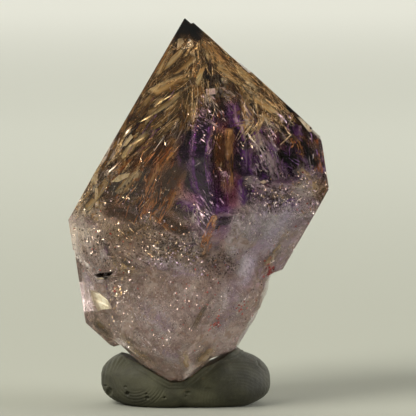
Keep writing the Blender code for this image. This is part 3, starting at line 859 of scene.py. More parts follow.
def cloud_material(name, dark, light, lilac, scale, grit, opacity, glow, cut, top):
    """Milky cloud inside the quartz that fades out above a level, top millimetres below the tip."""
    material, web = film_material(name)
    place = web.crystal_place()
    puff = web.noise(place, scale, 5.0, 0.58, 0.6)
    sugar = web.noise(web.moved(place, (7.0, 2.0, 9.0)), 1.9, 4.0, 0.7, 0.4)
    puff = web.math("MULTIPLY_ADD", sugar, grit, web.math("MULTIPLY", puff, 1.0 - grit))
    tone = web.noise(web.moved(place, (11.0, 3.0, 5.0)), scale * 1.8, 5.0, 0.62, 0.5)
    colour = web.mix(web.span(tone, 0.38, 0.62), dark, light)
    tint = web.noise(web.moved(place, (4.0, 13.0, 8.0)), 0.09, 4.0, 0.6, 0.6)
    level = web.split(place)
    bluer = web.span(level["X"], -10.0, 6.0, 0.1, 0.8)
    colour = web.mix(web.math("MULTIPLY", web.span(tint, 0.42, 0.56), bluer), colour, lilac)
    base = web.span(level["Z"], -49.0, -55.0, 0.0, 0.35)
    colour = web.mix(base, colour, (0.42, 0.30, 0.20))
    drift = web.noise(place, 0.16, 3.0, 0.6)
    height = web.math("MULTIPLY_ADD", drift, 10.0, web.math("ADD", level["Z"], -5.0))
    fade = web.span(height, -top + 4.0, -top - 5.0)
    thinner = web.span(level["X"], 0.0, 14.0, 1.0, 0.82)
    cover = web.math("MULTIPLY", web.span(puff, *cut, *opacity), web.math("MULTIPLY", fade, thinner))
    web.feed(see_through(web, colour, cover, glow), web.output().inputs["Surface"])
    return material


def see_through(web, colour, cover, glow, mirror=0.0, relief=None):
    """Film: cover is how much it hides, glow the share of light it passes on, mirror how shiny it is."""
    diffuse = web.add("ShaderNodeBsdfDiffuse")
    through = web.add("ShaderNodeBsdfTranslucent")
    for node in (diffuse, through):
        web.put(node.inputs["Color"], colour)
    body = web.blend(glow, diffuse, through)
    if mirror:
        gloss = web.add("ShaderNodeBsdfAnisotropic")
        web.fill(gloss, {"Roughness": 0.16, "Color": colour, "Normal": relief})
        body = web.blend(mirror, body, gloss)
    return web.blend(cover, web.add("ShaderNodeBsdfTransparent"), body).outputs[0]


# Clouds: nested closed films in the lower half, each deeper under the crystal's faces.
CLOUDS = (
    # name, cover, dark, light, lilac, scale, grit, opacity, glow, cut, top
    ("cloud_near", 1.0, (0.52, 0.38, 0.28), (1.0, 0.92, 0.80), (0.86, 0.76, 0.92),
     0.34, 0.24, (0.0, 0.62), 0.55, (0.40, 0.60), 34.0),
    ("cloud_middle", 3.0, (0.50, 0.36, 0.30), (0.95, 0.84, 0.74), (0.74, 0.64, 0.82),
     0.35, 0.4, (0.12, 0.6), 0.6, (0.40, 0.60), 32.0),
    ("cloud_deep", 6.0, (0.50, 0.38, 0.32), (0.90, 0.78, 0.70), (0.70, 0.60, 0.78),
     0.25, 0.3, (0.35, 0.75), 0.6, (0.36, 0.60), 32.0),
)
CLOUD_CENTRE = (-1.0, 1.0, -44.0)
CLOUD_RADII = (30.0, 26.0, 22.0)


def make_clouds():
    for number, (name, cover, *look) in enumerate(CLOUDS):
        bm = bmesh.new()
        zone_body(bm, crystal_point(*CLOUD_CENTRE), CLOUD_RADII, cover, 0.15, 9.1 + number, fineness=5)
        piece_from(bm, name, cloud_material(name, *look))


SHARD_SEED = 7
# Spreads of a sliver's place, lie in degrees, slant and tilt, and its thickness as a share of its width.
SHARD_ASIDE = 0.55
SHARD_LIE = 7.0
SHARD_SLANT = 0.3
SHARD_TILT = 0.34
SHARD_FLAT = 0.16


def shard(bm, place, along, size, face_way):
    """Closed flat sliver of six corners: size is its length, width and thickness in millimetres."""
    beside = along.cross(face_way).normalized()
    along = face_way.cross(beside).normalized()
    over = along.cross(beside)
    half = [Vector(axis) * (measure * MM * 0.5) for axis, measure in zip((along, beside, over), size)]
    tips = [bm.verts.new(place + half[0]), bm.verts.new(place - half[0])]
    belt = [bm.verts.new(place + half[1]), bm.verts.new(place + half[2])]
    belt += [bm.verts.new(place - half[1]), bm.verts.new(place - half[2])]
    for index in range(4):
        a, b = belt[index], belt[(index + 1) % 4]
        bm.faces.new((tips[0], a, b))
        bm.faces.new((tips[1], b, a))


# Slivers seen from the front, in patches given in pixels, degrees and millimetres.
SHARDS = {
    # middle, half sizes, turn, how many, ranges of depth, length and width, and the way they lie or None
    "white_glints": (
        ((186, 46), (10, 6), 20, 20, (0.4, 0.9), (0.4, 1.2), (0.17, 0.38), None),
        ((252, 130), (9, 36), -30, 38, (0.4, 1.2), (0.3, 1.4), (0.12, 0.26), -60),
        ((205, 112), (12, 24), 0, 28, (0.5, 1.4), (0.3, 1.2), (0.12, 0.26), -50),
        ((200, 190), (18, 30), 0, 36, (0.5, 1.4), (0.2, 0.8), (0.12, 0.26), -50),
        ((165, 243), (36, 20), 0, 150, (0.35, 0.8), (0.2, 0.5), (0.14, 0.27), None),
        ((104, 235), (22, 34), 0, 80, (0.35, 0.8), (0.2, 0.6), (0.14, 0.31), None),
        ((275, 198), (22, 14), 0, 80, (0.35, 0.8), (0.2, 0.6), (0.14, 0.27), None),
        ((266, 232), (34, 20), -40, 120, (0.35, 0.8), (0.2, 0.5), (0.12, 0.26), None),
        ((190, 300), (74, 44), 0, 210, (0.35, 0.8), (0.2, 0.5), (0.12, 0.24), None),
        ((124, 300), (10, 34), 0, 100, (0.35, 0.8), (0.2, 0.6), (0.14, 0.29), None),
        ((150, 345), (26, 16), 20, 50, (0.35, 0.8), (0.2, 0.5), (0.14, 0.26), None),
        ((283, 228), (6, 32), 32, 56, (0.35, 0.7), (0.2, 0.6), (0.14, 0.26), None),
        ((286, 204), (18, 8), 0, 44, (0.35, 0.7), (0.2, 0.5), (0.12, 0.24), None),
    ),
    "dark_specks": (
        ((165, 248), (38, 18), 0, 330, (0.35, 0.8), (0.2, 0.5), (0.16, 0.32), None),
        ((220, 262), (18, 16), 0, 200, (0.35, 0.8), (0.2, 0.45), (0.14, 0.28), None),
        ((124, 190), (22, 16), 0, 90, (0.4, 1.0), (0.2, 0.6), (0.16, 0.36), None),
        ((276, 200), (14, 12), 0, 90, (0.35, 0.8), (0.2, 0.6), (0.16, 0.34), None),
        ((186, 300), (74, 44), 0, 170, (0.35, 0.8), (0.16, 0.4), (0.14, 0.26), None),
        ((100, 250), (20, 22), 0, 100, (0.35, 0.8), (0.2, 0.6), (0.14, 0.34), None),
        ((200, 120), (30, 60), 0, 120, (0.5, 1.4), (0.2, 0.8), (0.14, 0.3), -55),
        ((130, 130), (26, 50), 30, 130, (0.4, 1.2), (0.3, 1.6), (0.12, 0.26), 58),
        ((250, 90), (36, 10), -38, 90, (0.4, 1.0), (0.5, 2.4), (0.12, 0.26), -40),
    ),
    "red_flecks": (
        ((240, 307), (9, 5), 20, 12, (0.35, 0.6), (0.3, 0.7), (0.2, 0.34), None),
        ((215, 325), (7, 6), 0, 14, (0.35, 0.6), (0.4, 0.9), (0.24, 0.44), None),
        ((117, 289), (3, 3), 0, 6, (0.35, 0.6), (0.4, 0.9), (0.24, 0.44), -10),
        ((200, 300), (60, 40), 0, 30, (0.35, 0.6), (0.24, 0.45), (0.16, 0.28), None),
        ((270, 270), (8, 8), 0, 26, (0.35, 0.6), (0.3, 0.8), (0.16, 0.34), 45),
        ((303, 172), (1, 1), 0, 2, (0.35, 0.5), (0.4, 0.6), (0.24, 0.34), None),
    ),
    "gold_slivers": (
        ((186, 48), (11, 9), 30, 27, (0.4, 1.0), (0.5, 1.5), (0.13, 0.35), 50),
        ((244, 84), (38, 5), -38, 36, (0.4, 1.0), (1.0, 4.0), (0.10, 0.24), -40),
        ((278, 124), (14, 8), -50, 15, (0.4, 1.2), (0.6, 2.0), (0.11, 0.27), -48),
        ((118, 150), (9, 50), 30, 40, (0.4, 1.2), (0.8, 4.0), (0.10, 0.24), 60),
        ((160, 100), (24, 34), 30, 27, (0.5, 1.4), (0.8, 3.4), (0.10, 0.24), 50),
        ((276, 196), (11, 6), 0, 22, (0.35, 0.8), (0.24, 0.6), (0.14, 0.29), None),
        ((150, 240), (40, 24), 0, 54, (0.35, 0.9), (0.2, 0.5), (0.13, 0.24), None),
        ((118, 292), (5, 30), -12, 46, (0.35, 0.8), (0.3, 0.9), (0.14, 0.28), 70),
        ((286, 232), (5, 30), 32, 30, (0.35, 0.7), (0.3, 0.8), (0.12, 0.24), None),
    ),
    "rust_slivers": (
        ((152, 206), (20, 12), 30, 24, (0.4, 1.2), (0.6, 2.6), (0.12, 0.32), 62),
        ((140, 176), (26, 28), 0, 22, (0.5, 1.4), (0.5, 2.4), (0.12, 0.3), 62),
        ((208, 240), (5, 20), 20, 16, (0.35, 0.7), (0.5, 1.6), (0.12, 0.26), 66),
        ((218, 150), (8, 24), 0, 3, (0.4, 1.0), (0.3, 0.9), (0.12, 0.2), 75),
        ((298, 150), (5, 6), 0, 6, (0.4, 0.9), (0.3, 0.8), (0.14, 0.3), 50),
    ),
    "lilac_slivers": (
        ((268, 150), (7, 32), -28, 42, (0.4, 1.2), (0.5, 2.4), (0.10, 0.26), -58),
        ((204, 120), (11, 26), 0, 48, (0.5, 1.2), (0.5, 1.8), (0.10, 0.26), -45),
        ((204, 215), (12, 22), -20, 54, (0.5, 1.2), (0.5, 1.8), (0.10, 0.26), -50),
        ((224, 175), (7, 9), 0, 18, (0.4, 1.0), (0.24, 0.8), (0.14, 0.29), None),
        ((180, 262), (50, 14), 0, 120, (0.35, 0.8), (0.2, 0.45), (0.12, 0.24), None),
        ((270, 225), (30, 24), -40, 96, (0.35, 0.8), (0.2, 0.5), (0.12, 0.26), None),
    ),
}
# Cleavage plates, their pale colour a painted glint: corners in pixels, and depth in millimetres.
CREAM_PAINTED_GLINT_PLATES = (
    ([(120, 138), (123, 131), (132, 125), (130, 132), (125, 137)], 0.5),
    ([(111, 182), (119, 175), (130, 173), (128, 177), (118, 182)], 0.5),
    ([(93, 178), (97, 174), (98, 180), (95, 185)], 0.5),
    ([(95, 188), (98, 188), (98.5, 206), (95.5, 207)], 0.5),
    ([(122, 146), (131, 134), (133, 137), (126, 146)], 0.8),
    ([(89, 290), (96, 291), (109, 302), (112, 309), (98, 311), (92, 300)], 0.6),
    ([(149, 365), (160, 371), (169, 373), (167, 376), (157, 374)], 0.4),
    ([(297, 117), (300, 117), (312, 131), (309, 132)], 0.4),
    ([(260, 182), (264, 180), (267, 182), (263, 184)], 0.5),
    ([(178, 39), (183, 38), (184, 43), (180, 48), (177, 50)], 0.7),
    ([(187, 43), (192, 40), (194, 46), (189, 49)], 0.7),
    ([(190, 52), (194, 50), (196, 60), (193, 63)], 0.8),
    ([(238, 61), (241, 63), (244, 67), (241, 66)], 0.4),
    ([(96, 278), (114, 275.5), (114, 276.6), (98, 279.6)], 0.4),
)
# Painted shadow: a near-black plate in the cleft's notch.
CLEFT_PAINTED_SHADOW_PLATES = (
    ([(94, 274.6), (104, 272.6), (115, 273.4), (107, 276.2), (98, 277.2)], 0.4),
)
# Lilac cleavage plates, their pale colour a painted glint: corners in pixels, and depth in millimetres.
LILAC_PAINTED_GLINT_PLATES = (
    ([(206, 89), (215, 88.5), (215.5, 94), (207, 95)], 0.8),
    ([(191, 112), (196, 110), (198, 116), (193, 119)], 0.9),
    ([(222, 172), (226, 171), (227, 176), (223, 177)], 0.8),
    ([(203, 230), (206, 231), (209, 239), (206, 238)], 0.7),
    ([(206, 118), (216, 124), (218, 127), (208, 122)], 0.9),
    ([(297, 117), (302, 116), (322, 140), (318, 146)], 0.5),
)


def plate(bm, corners, depth):
    """Thin closed plate behind corners given in pixels."""
    front = [seen(x, y, depth) for x, y in corners]
    if None in front:
        return
    thick = world_direction(0.0, 0.0, PLATE_THICK * MM)
    rings = [[bm.verts.new(place + push) for place in front] for push in (Vector(), thick)]
    count = len(corners)
    bm.faces.new(rings[0])
    bm.faces.new(rings[1][::-1])
    for index in range(count):
        other = (index + 1) % count
        bm.faces.new((rings[0][index], rings[1][index], rings[1][other], rings[0][other]))


def plate_material(name, dark, light):
    material, web = film_material(name)
    tone = web.noise(web.crystal_place(), 1.4, 5.0, 0.7, 0.8)
    colour = web.mix(web.span(tone, 0.36, 0.60), dark, light)
    surface = see_through(web, colour, 0.97, 0.15, 0.1, web.bump(tone, 0.6, 0.0004))
    web.feed(surface, web.output().inputs["Surface"])
    return material


def make_plates():
    looks = (
        ("cream_painted_glint_plates", CREAM_PAINTED_GLINT_PLATES, (0.66, 0.55, 0.36), (0.86, 0.79, 0.62)),
        ("lilac_painted_glint_plates", LILAC_PAINTED_GLINT_PLATES, (0.62, 0.50, 0.72), (0.96, 0.88, 1.0)),
        ("dark_plates", CLEFT_PAINTED_SHADOW_PLATES, (0.008, 0.005, 0.004), (0.03, 0.018, 0.014)),
    )
    for name, rows, dark, light in looks:
        bm = bmesh.new()
        for corners, depth in rows:
            plate(bm, corners, depth)
        piece_from(bm, name, plate_material(name, dark, light))


# Strands, long curved slivers that follow a guide path, in pixels and millimetres.
STRANDS = {
    # path, spread to its sides, how many, and ranges of depth, length and width
    "gold_strands": (
        ([(226, 58), (250, 78), (274, 95), (294, 116)], 9, 36, (0.4, 1.0), (1.5, 5.0), (0.06, 0.15)),
        ([(200, 38), (222, 56), (240, 74)], 7, 12, (0.4, 1.0), (0.8, 3.0), (0.06, 0.15)),
        ([(176, 38), (150, 84), (124, 130), (98, 178), (76, 214)],
         8, 30, (0.4, 1.1), (1.0, 5.0), (0.07, 0.19)),
        ([(206, 70), (188, 86), (164, 98), (144, 112)], 14, 12, (0.5, 1.6), (1.0, 4.5), (0.06, 0.14)),
        ([(204, 84), (182, 104), (160, 122), (138, 142)], 14, 15, (0.5, 1.6), (1.0, 5.0), (0.06, 0.14)),
        ([(168, 126), (146, 146), (126, 164), (106, 184)], 16, 22, (0.5, 1.6), (1.0, 4.5), (0.07, 0.19)),
        ([(194, 50), (190, 62), (184, 76)], 7, 14, (0.4, 1.0), (0.5, 1.8), (0.12, 0.26)),
        ([(216, 134), (218, 150), (216, 172)], 5, 2, (0.4, 1.0), (0.5, 2.0), (0.07, 0.16)),
        ([(120, 220), (140, 236), (160, 252)], 14, 8, (0.4, 0.8), (0.6, 2.0), (0.07, 0.14)),
    ),
    "tan_strands": (
        ([(204, 62), (188, 78), (166, 86), (150, 92)], 16, 5, (0.8, 2.2), (2.0, 6.0), (0.10, 0.20)),
        ([(206, 80), (186, 102), (160, 124), (132, 150)], 20, 5, (0.8, 2.2), (2.0, 6.0), (0.10, 0.20)),
        ([(168, 120), (146, 148), (122, 180), (104, 206)], 24, 6, (0.8, 2.2), (1.6, 5.0), (0.10, 0.20)),
        ([(222, 74), (246, 88), (270, 108)], 12, 3, (0.8, 2.0), (1.6, 5.0), (0.10, 0.18)),
    ),
    "silver_strands": (
        ([(230, 88), (248, 102), (262, 122), (274, 148), (284, 172)],
         15, 20, (0.4, 1.4), (0.8, 4.0), (0.05, 0.12)),
        ([(240, 110), (250, 134), (262, 158), (268, 184)], 16, 12, (0.4, 1.6), (0.6, 3.0), (0.05, 0.12)),
        ([(206, 100), (212, 112), (222, 126)], 12, 10, (0.4, 1.2), (0.6, 2.4), (0.05, 0.12)),
        ([(206, 130), (196, 146), (184, 158)], 10, 3, (0.4, 1.4), (0.6, 2.6), (0.05, 0.12)),
        ([(196, 166), (200, 190), (204, 214), (212, 232)], 16, 4, (0.4, 1.4), (0.5, 2.4), (0.05, 0.12)),
        ([(134, 124), (124, 136), (116, 152)], 6, 8, (0.4, 0.8), (0.8, 3.0), (0.11, 0.26)),
        ([(122, 158), (108, 174), (96, 190)], 8, 10, (0.4, 0.8), (0.8, 3.4), (0.09, 0.23)),
        ([(268, 206), (256, 224), (248, 246)], 24, 35, (0.4, 1.0), (0.4, 1.6), (0.06, 0.15)),
        ([(100, 216), (96, 236), (104, 262)], 14, 19, (0.4, 0.9), (0.4, 1.8), (0.08, 0.20)),
        ([(150, 236), (180, 244), (206, 240)], 22, 29, (0.4, 0.9), (0.3, 1.2), (0.06, 0.15)),
        ([(130, 276), (124, 300), (136, 330), (152, 350)], 14, 29, (0.4, 0.9), (0.3, 1.4), (0.06, 0.15)),
        ([(240, 290), (236, 312), (222, 340)], 14, 19, (0.4, 0.9), (0.3, 1.4), (0.06, 0.15)),
        ([(166, 352), (184, 360), (204, 350)], 14, 16, (0.4, 0.8), (0.3, 1.2), (0.06, 0.15)),
    ),
    "brown_strands": (
        ([(212, 58), (190, 84), (160, 112), (130, 146), (100, 190)],
         34, 58, (0.4, 1.8), (1.2, 6.0), (0.07, 0.20)),
        ([(178, 34), (150, 82), (124, 128), (98, 176), (74, 216)],
         6, 31, (0.4, 0.9), (1.0, 5.0), (0.09, 0.23)),
        ([(196, 30), (226, 56), (256, 84), (292, 112)], 10, 26, (0.4, 1.2), (1.0, 5.0), (0.07, 0.19)),
        ([(264, 112), (282, 128), (298, 146)], 16, 24, (0.4, 1.4), (0.8, 3.0), (0.09, 0.27)),
        ([(150, 150), (140, 180), (130, 210)], 28, 31, (0.4, 1.4), (0.8, 3.0), (0.09, 0.20)),
        ([(112, 236), (126, 258), (148, 272)], 16, 18, (0.4, 0.9), (0.6, 2.4), (0.09, 0.19)),
    ),
    "violet_strands": (
        ([(204, 108), (204, 134), (204, 162), (206, 194)], 16, 5, (0.5, 1.8), (0.8, 3.6), (0.08, 0.22)),
        ([(204, 194), (208, 214), (214, 236)], 14, 8, (0.4, 1.2), (0.6, 2.6), (0.06, 0.17)),
        ([(232, 132), (238, 150), (242, 176), (250, 204)], 14, 5, (0.5, 1.6), (0.8, 3.0), (0.08, 0.19)),
        ([(264, 142), (280, 160), (300, 172)], 16, 3, (0.5, 1.6), (0.8, 3.0), (0.08, 0.19)),
    ),
    "rust_strands": (
        ([(164, 152), (154, 178), (146, 206), (140, 224)], 16, 13, (0.4, 1.2), (0.8, 3.6), (0.06, 0.15)),
        ([(168, 186), (160, 204), (152, 222)], 12, 8, (0.4, 0.9), (0.6, 2.6), (0.08, 0.18)),
        ([(218, 212), (210, 232), (200, 256)], 6, 6, (0.4, 0.8), (0.8, 3.0), (0.07, 0.15)),
        ([(296, 134), (300, 146), (304, 158)], 8, 2, (0.4, 0.8), (0.4, 1.6), (0.07, 0.15)),
    ),
}
STRAND_SEED = 23
STRAND_POINTS = 7
# Spreads of a strand's place, swing, drift and roll, the first as a share of its row's spread.
STRAND_ASIDE = 0.5
STRAND_SWING = 0.03
STRAND_DRIFT = 0.10
STRAND_ROLL = 0.5
# A strand whose points lie further apart than this, in millimetres, crosses an edge and is left out.
STRAND_JUMP = 2.0
TRACK_POINTS = 80


def strand(bm, spots, width, roll, eye):
    """Closed curved sliver with a triangular section along places, pointed at both ends."""
    last = len(spots) - 1
    rings = []
    for index in range(1, last):
        along = (spots[index + 1] - spots[index - 1]).normalized()
        beside = along.cross(eye - spots[index]).normalized()
        beside = Matrix.Rotation(roll, 3, along) @ beside
        over = beside.cross(along)
        half = width * MM * 0.5 * math.sin(math.pi * index / last) ** 0.6
        corners = (beside * half, over * (half * 0.5), beside * -half)
        rings.append([bm.verts.new(spots[index] + corner) for corner in corners])
    for tip, ring in ((bm.verts.new(spots[0]), rings[0]), (bm.verts.new(spots[last]), rings[-1])):
        for index in range(3):
            bm.faces.new((tip, ring[index], ring[(index + 1) % 3]))
    for first, second in zip(rings, rings[1:]):
        for index in range(3):
            other = (index + 1) % 3
            bm.faces.new((first[index], first[other], second[other], second[index]))


def scatter_strands(bm, chance, guide, spread, count, depths, lengths, widths, azimuth=0.0):
    """Strands that follow a guide path in the picture of one side."""
    track = smooth_path(guide, TRACK_POINTS)
    whole = sum((b - a).length for a, b in zip(track, track[1:]))
    eye = picture_turn(azimuth) @ EYE
    for _ in range(count):
        reach = min(chance.uniform(*lengths) / MM_PER_PIXEL, whole * 0.9)
        start = chance.uniform(0.0, 1.0 - reach / whole)
        aside = chance.gauss(0.0, STRAND_ASIDE) * spread
        swing = chance.gauss(0.0, STRAND_SWING) * reach
        drift = chance.gauss(0.0, STRAND_DRIFT) * reach
        phase = chance.uniform(0.0, math.pi)
        deep = chance.uniform(*depths)
        width = chance.uniform(*widths)
        roll = chance.gauss(0.0, STRAND_ROLL)
        spots = []
        for step in range(STRAND_POINTS):
            t = step / (STRAND_POINTS - 1)
            where = (start + t * reach / whole) * (TRACK_POINTS - 1)
            index = min(int(where), TRACK_POINTS - 2)
            at = track[index].lerp(track[index + 1], where - index)
            ahead = (track[index + 1] - track[index]).normalized()
            offset = aside + swing * math.sin(phase + 4.0 * t) + drift * (t - 0.5)
            at = at + Vector((-ahead.y, ahead.x)) * offset
            spots.append(seen(at.x, at.y, deep, azimuth))
        if None in spots:
            continue
        if max((b - a).length for a, b in zip(spots, spots[1:])) < STRAND_JUMP * MM:
            strand(bm, spots, width, roll, eye)


def scatter_shards(bm, chance, middle, half, turn, count, depths, lengths, widths, lie, azimuth=0.0):
    """Slivers over a patch of the picture of one side."""
    spun = Matrix.Rotation(-math.radians(turn), 2)
    for _ in range(count):
        off = spun @ Vector([chance.gauss(0.0, SHARD_ASIDE) * reach for reach in half])
        x, y = middle[0] + off.x, middle[1] + off.y
        place = seen(x, y, chance.uniform(*depths), azimuth)
        angle = math.radians(chance.uniform(0, 360) if lie is None else lie + chance.gauss(0.0, SHARD_LIE))
        along = world_direction(math.cos(angle), math.sin(angle), chance.gauss(0.0, SHARD_SLANT))
        width = chance.uniform(*widths)
        size = (chance.uniform(*lengths), width, width * SHARD_FLAT)
        tilt = Vector([chance.gauss(0.0, SHARD_TILT) for _ in range(3)])
        if place is not None:
            way = (facing(x, y, azimuth) + tilt).normalized()
            shard(bm, place, picture_turn(azimuth) @ along, size, way)


SHARD_FINISH = {
    # dark, light, roughness, mirror share
    "white_glints": ((0.85, 0.80, 0.74), (1.0, 0.98, 0.94), 0.22, 0.8),
    "dark_specks": ((0.012, 0.008, 0.006), (0.05, 0.03, 0.02), 0.5, 0.0),
    "red_flecks": ((0.20, 0.01, 0.008), (0.50, 0.04, 0.03), 0.5, 0.0),
    "gold_slivers": ((0.90, 0.60, 0.28), (1.0, 0.88, 0.60), 0.25, 0.7),
    "rust_slivers": ((0.34, 0.13, 0.04), (0.74, 0.37, 0.15), 0.45, 0.2),
    "lilac_slivers": ((0.65, 0.48, 0.80), (0.95, 0.86, 1.0), 0.25, 0.6),
    "gold_strands": ((0.95, 0.66, 0.32), (1.0, 0.92, 0.68), 0.25, 0.6),
    "tan_strands": ((0.66, 0.46, 0.26), (0.92, 0.76, 0.50), 0.35, 0.3),
    "silver_strands": ((0.86, 0.80, 0.88), (1.0, 0.99, 0.96), 0.22, 0.6),
    "brown_strands": ((0.020, 0.010, 0.006), (0.09, 0.05, 0.03), 0.4, 0.0),
    "violet_strands": ((0.10, 0.04, 0.18), (0.40, 0.22, 0.56), 0.3, 0.4),
    "rust_strands": ((0.40, 0.15, 0.05), (0.74, 0.38, 0.16), 0.35, 0.3),
}


def shard_material(name, dark, light, rough, mirror):
    material, web, shader = new_material(name)
    place = web.crystal_place()
    tone = web.noise(place, 2.3, 3.0, 0.6)
    web.feed(web.mix(web.span(tone, 0.35, 0.65), dark, light), shader.inputs["Base Color"])
    web.feed(web.span(tone, 0.3, 0.7, rough * 0.7, rough * 1.3), shader.inputs["Roughness"])
    shader.inputs["Metallic"].default_value = mirror
    return material


def side_spot(azimuth, where, chance):
    """Pixel in the picture of a side, from (down, across) shares. It takes no draw."""
    return side_pixel(azimuth, *where)


def scatter_over(front, sides, seed, scatter, side_place):
    """Pieces of slivers or strands: rows placed in the photograph, then the rows of the other sides."""
    chance = random.Random(seed)
    for name, rows in front.items():
        bm = bmesh.new()
        for row in rows:
            scatter(bm, chance, *row)
        for azimuth in SIDES:
            for where, *rest in sides.get(name, ()):
                scatter(bm, chance, side_place(azimuth, where, chance), *rest, azimuth=azimuth)
        piece_from(bm, name, shard_material(name, *SHARD_FINISH[name]))


def zone_body(bm, middle, radii, cover, roughness, seed, fineness=4):
    """Closed oval zone round a place: radii along the crystal's axes, kept cover millimetres inside it."""
    ball = bmesh.ops.create_icosphere(bm, subdivisions=fineness, radius=1.0)["verts"]
    for vert in ball:
        ray = vert.co.normalized()
        local = Vector((ray.dot(ACROSS) / radii[0], ray.dot(AWAY) / radii[1], ray.dot(UP) / radii[2]))
        reach = MM / local.length
        reach *= 1.0 + roughness * noise.fractal(ray * 1.7 + Vector((seed, 0, 0)), 1.0, 2.0, 3)
        wall = SKIN.ray_cast(middle, ray)[0]
        if wall is not None:
            reach = min(reach, (wall - middle).length - cover * MM)
        vert.co = middle + ray * reach
    for face in bm.faces:
        face.smooth = True


def zone_material(name, deep, density):
    """Clear colour zone with the quartz's own index, so that it doesn't bend light where it begins."""
    material, web, shader = new_material(name)
    place = web.crystal_place()
    blotch = web.noise(web.moved(place, scale=(1.0, 1.0, 0.45)), 0.35, 4.0, 0.6, 0.8)
    faint = tuple(0.9 + 0.1 * part for part in deep)
    web.feed(web.mix(web.span(blotch, 0.35, 0.65), (1.0, 1.0, 1.0), faint), shader.inputs["Base Color"])
    web.fill(shader, {"Transmission Weight": 1.0, "IOR": 1.0, "Roughness": 0.0})
    web.absorb((*deep, 1.0), density)
    return material


# Colour zones: pixel and depth where the middle shows, and radii in millimetres to the right, away and up.
ZONES = (
    # name, pixel, depth, radii, cover, roughness, deep colour, density
    ("violet_zone", (196, 150), 6.0, (4.6, 6.0, 12.0), 1.2, 0.35, (0.60, 0.16, 0.84), 150.0),
    ("violet_streak", (200, 145), 3.5, (1.5, 3.0, 9.0), 0.8, 0.4, (0.60, 0.05, 0.85), 420.0),
    ("violet_foot", (208, 196), 3.5, (1.8, 3.0, 6.0), 0.8, 0.4, (0.60, 0.10, 0.85), 360.0),
    ("violet_band", (238, 148), 3.0, (1.1, 2.4, 5.0), 0.8, 0.2, (0.50, 0.14, 0.55), 420.0),
    ("violet_upper_band", (229, 113), 3.0, (1.5, 2.4, 2.4), 0.8, 0.2, (0.50, 0.12, 0.62), 420.0),
    ("violet_side", (264, 176), 6.0, (6.0, 6.0, 5.0), 1.0, 0.35, (0.62, 0.34, 0.66), 130.0),
    ("block_zone", (226, 165), 4.0, (3.0, 3.4, 7.0), 1.0, 0.3, (0.72, 0.42, 0.30), 260.0),
    ("indigo_zone", (306, 160), 5.0, (4.4, 6.0, 3.6), 0.8, 0.3, (0.46, 0.28, 0.52), 150.0),
    ("smoky_zone", (140, 150), 9.0, (12.0, 9.0, 14.0), 1.0, 0.3, (0.72, 0.54, 0.18), 60.0),
    ("smoky_core", (142, 178), 6.0, (8.0, 6.0, 6.5), 1.0, 0.3, (0.70, 0.42, 0.14), 170.0),
    ("smoky_tip", (192, 50), 6.0, (6.0, 6.0, 6.0), 0.6, 0.3, (0.70, 0.48, 0.12), 140.0),
    ("smoky_side", (296, 132), 4.0, (5.0, 5.0, 4.0), 0.8, 0.3, (0.66, 0.40, 0.15), 190.0),
    ("brown_corner", (323, 190), 2.0, (2.0, 3.0, 2.2), 0.5, 0.3, (0.60, 0.40, 0.10), 500.0),
)


def make_zones():
    for number, (name, pixel, depth, radii, cover, roughness, deep, density) in enumerate(ZONES):
        bm = bmesh.new()
        zone_body(bm, seen(*pixel, depth), radii, cover, roughness, 3.7 * number)
        piece_from(bm, name, zone_material(name, deep, density))


# Pad: its two colours, and how much painted shade darkens its left and right ends.
TACK_DARK = (0.046, 0.044, 0.025)
TACK_LIGHT = (0.077, 0.074, 0.041)
LEFT_END_PAINTED_SHADE = 0.42
RIGHT_END_PAINTED_SHADE = 0.54


def tack_material():
    material, web, shader = new_material("mineral_tack")
    place = web.moved(web.place(), scale=TO_MM)
    mottle = web.noise(place, 0.35, 4.0, 0.6)
    colour = web.mix(web.span(mottle, 0.35, 0.65), TACK_DARK, TACK_LIGHT)
    along = web.split(place)["X"]
    # Painted shade: the pad's left and right ends are mixed towards black.
    left = web.span(along, -3.0, -13.0, 0.0, LEFT_END_PAINTED_SHADE)
    right = web.span(along, 0.0, 9.0, 0.0, RIGHT_END_PAINTED_SHADE)
    colour = web.mix(web.math("ADD", left, right), colour, (0.0, 0.0, 0.0))
    web.feed(colour, shader.inputs["Base Color"])
    grain = web.noise(place, 6.0, 4.0, 0.6)
    web.feed(web.span(grain, 0.3, 0.7, 0.6, 0.85), shader.inputs["Roughness"])
    web.feed(web.bump(grain, 0.4, 0.0001), shader.inputs["Normal"])
    shader.inputs["Specular IOR Level"].default_value = 0.35
    return material


# Finger ridges: side, centre pixel, inner and outer radius and pitch in pixels, and depth in millimetres.
RIDGES = (
    (0.0, (136.0, 376.0), 13.0, 36.0, 2.9, 0.10),
    (0.0, (238.0, 402.0), 14.0, 44.0, 3.1, 0.028),
    (180.0, (190.0, 392.0), 6.0, 34.0, 3.0, 0.045),
    (90.0, (214.0, 392.0), 4.0, 26.0, 3.0, 0.040),
    (-90.0, (200.0, 390.0), 4.0, 28.0, 3.0, 0.045),
)
# Pits: pixel, half sizes in pixels and depth in millimetres.
PITS = (
    ((127.0, 394.0), (1.8, 2.0), 0.45),
    ((125.0, 387.0), (1.4, 1.0), 0.25),
    ((147.0, 398.5), (1.7, 1.6), 0.40),
    ((146.0, 394.5), (1.1, 1.0), 0.25),
    ((164.6, 398.0), (1.3, 1.0), 0.30),
    ((188.0, 393.0), (2.4, 1.2), 0.30),
    ((186.0, 396.5), (1.3, 0.8), 0.25),
    ((109.0, 392.0), (2.6, 3.4), 0.45),
    ((104.5, 386.0), (1.6, 1.0), 0.25),
    ((207.0, 389.0), (3.0, 1.0), 0.15),
)
FOLD = ((252.0, 350.0), (257.0, 357.0), (259.0, 364.0), (265.0, 370.0))
FOLD_HALF = 1.6
FOLD_DEPTH = 0.14
PIT_RIM = 1.3
RIDGE_EDGE = 4.0
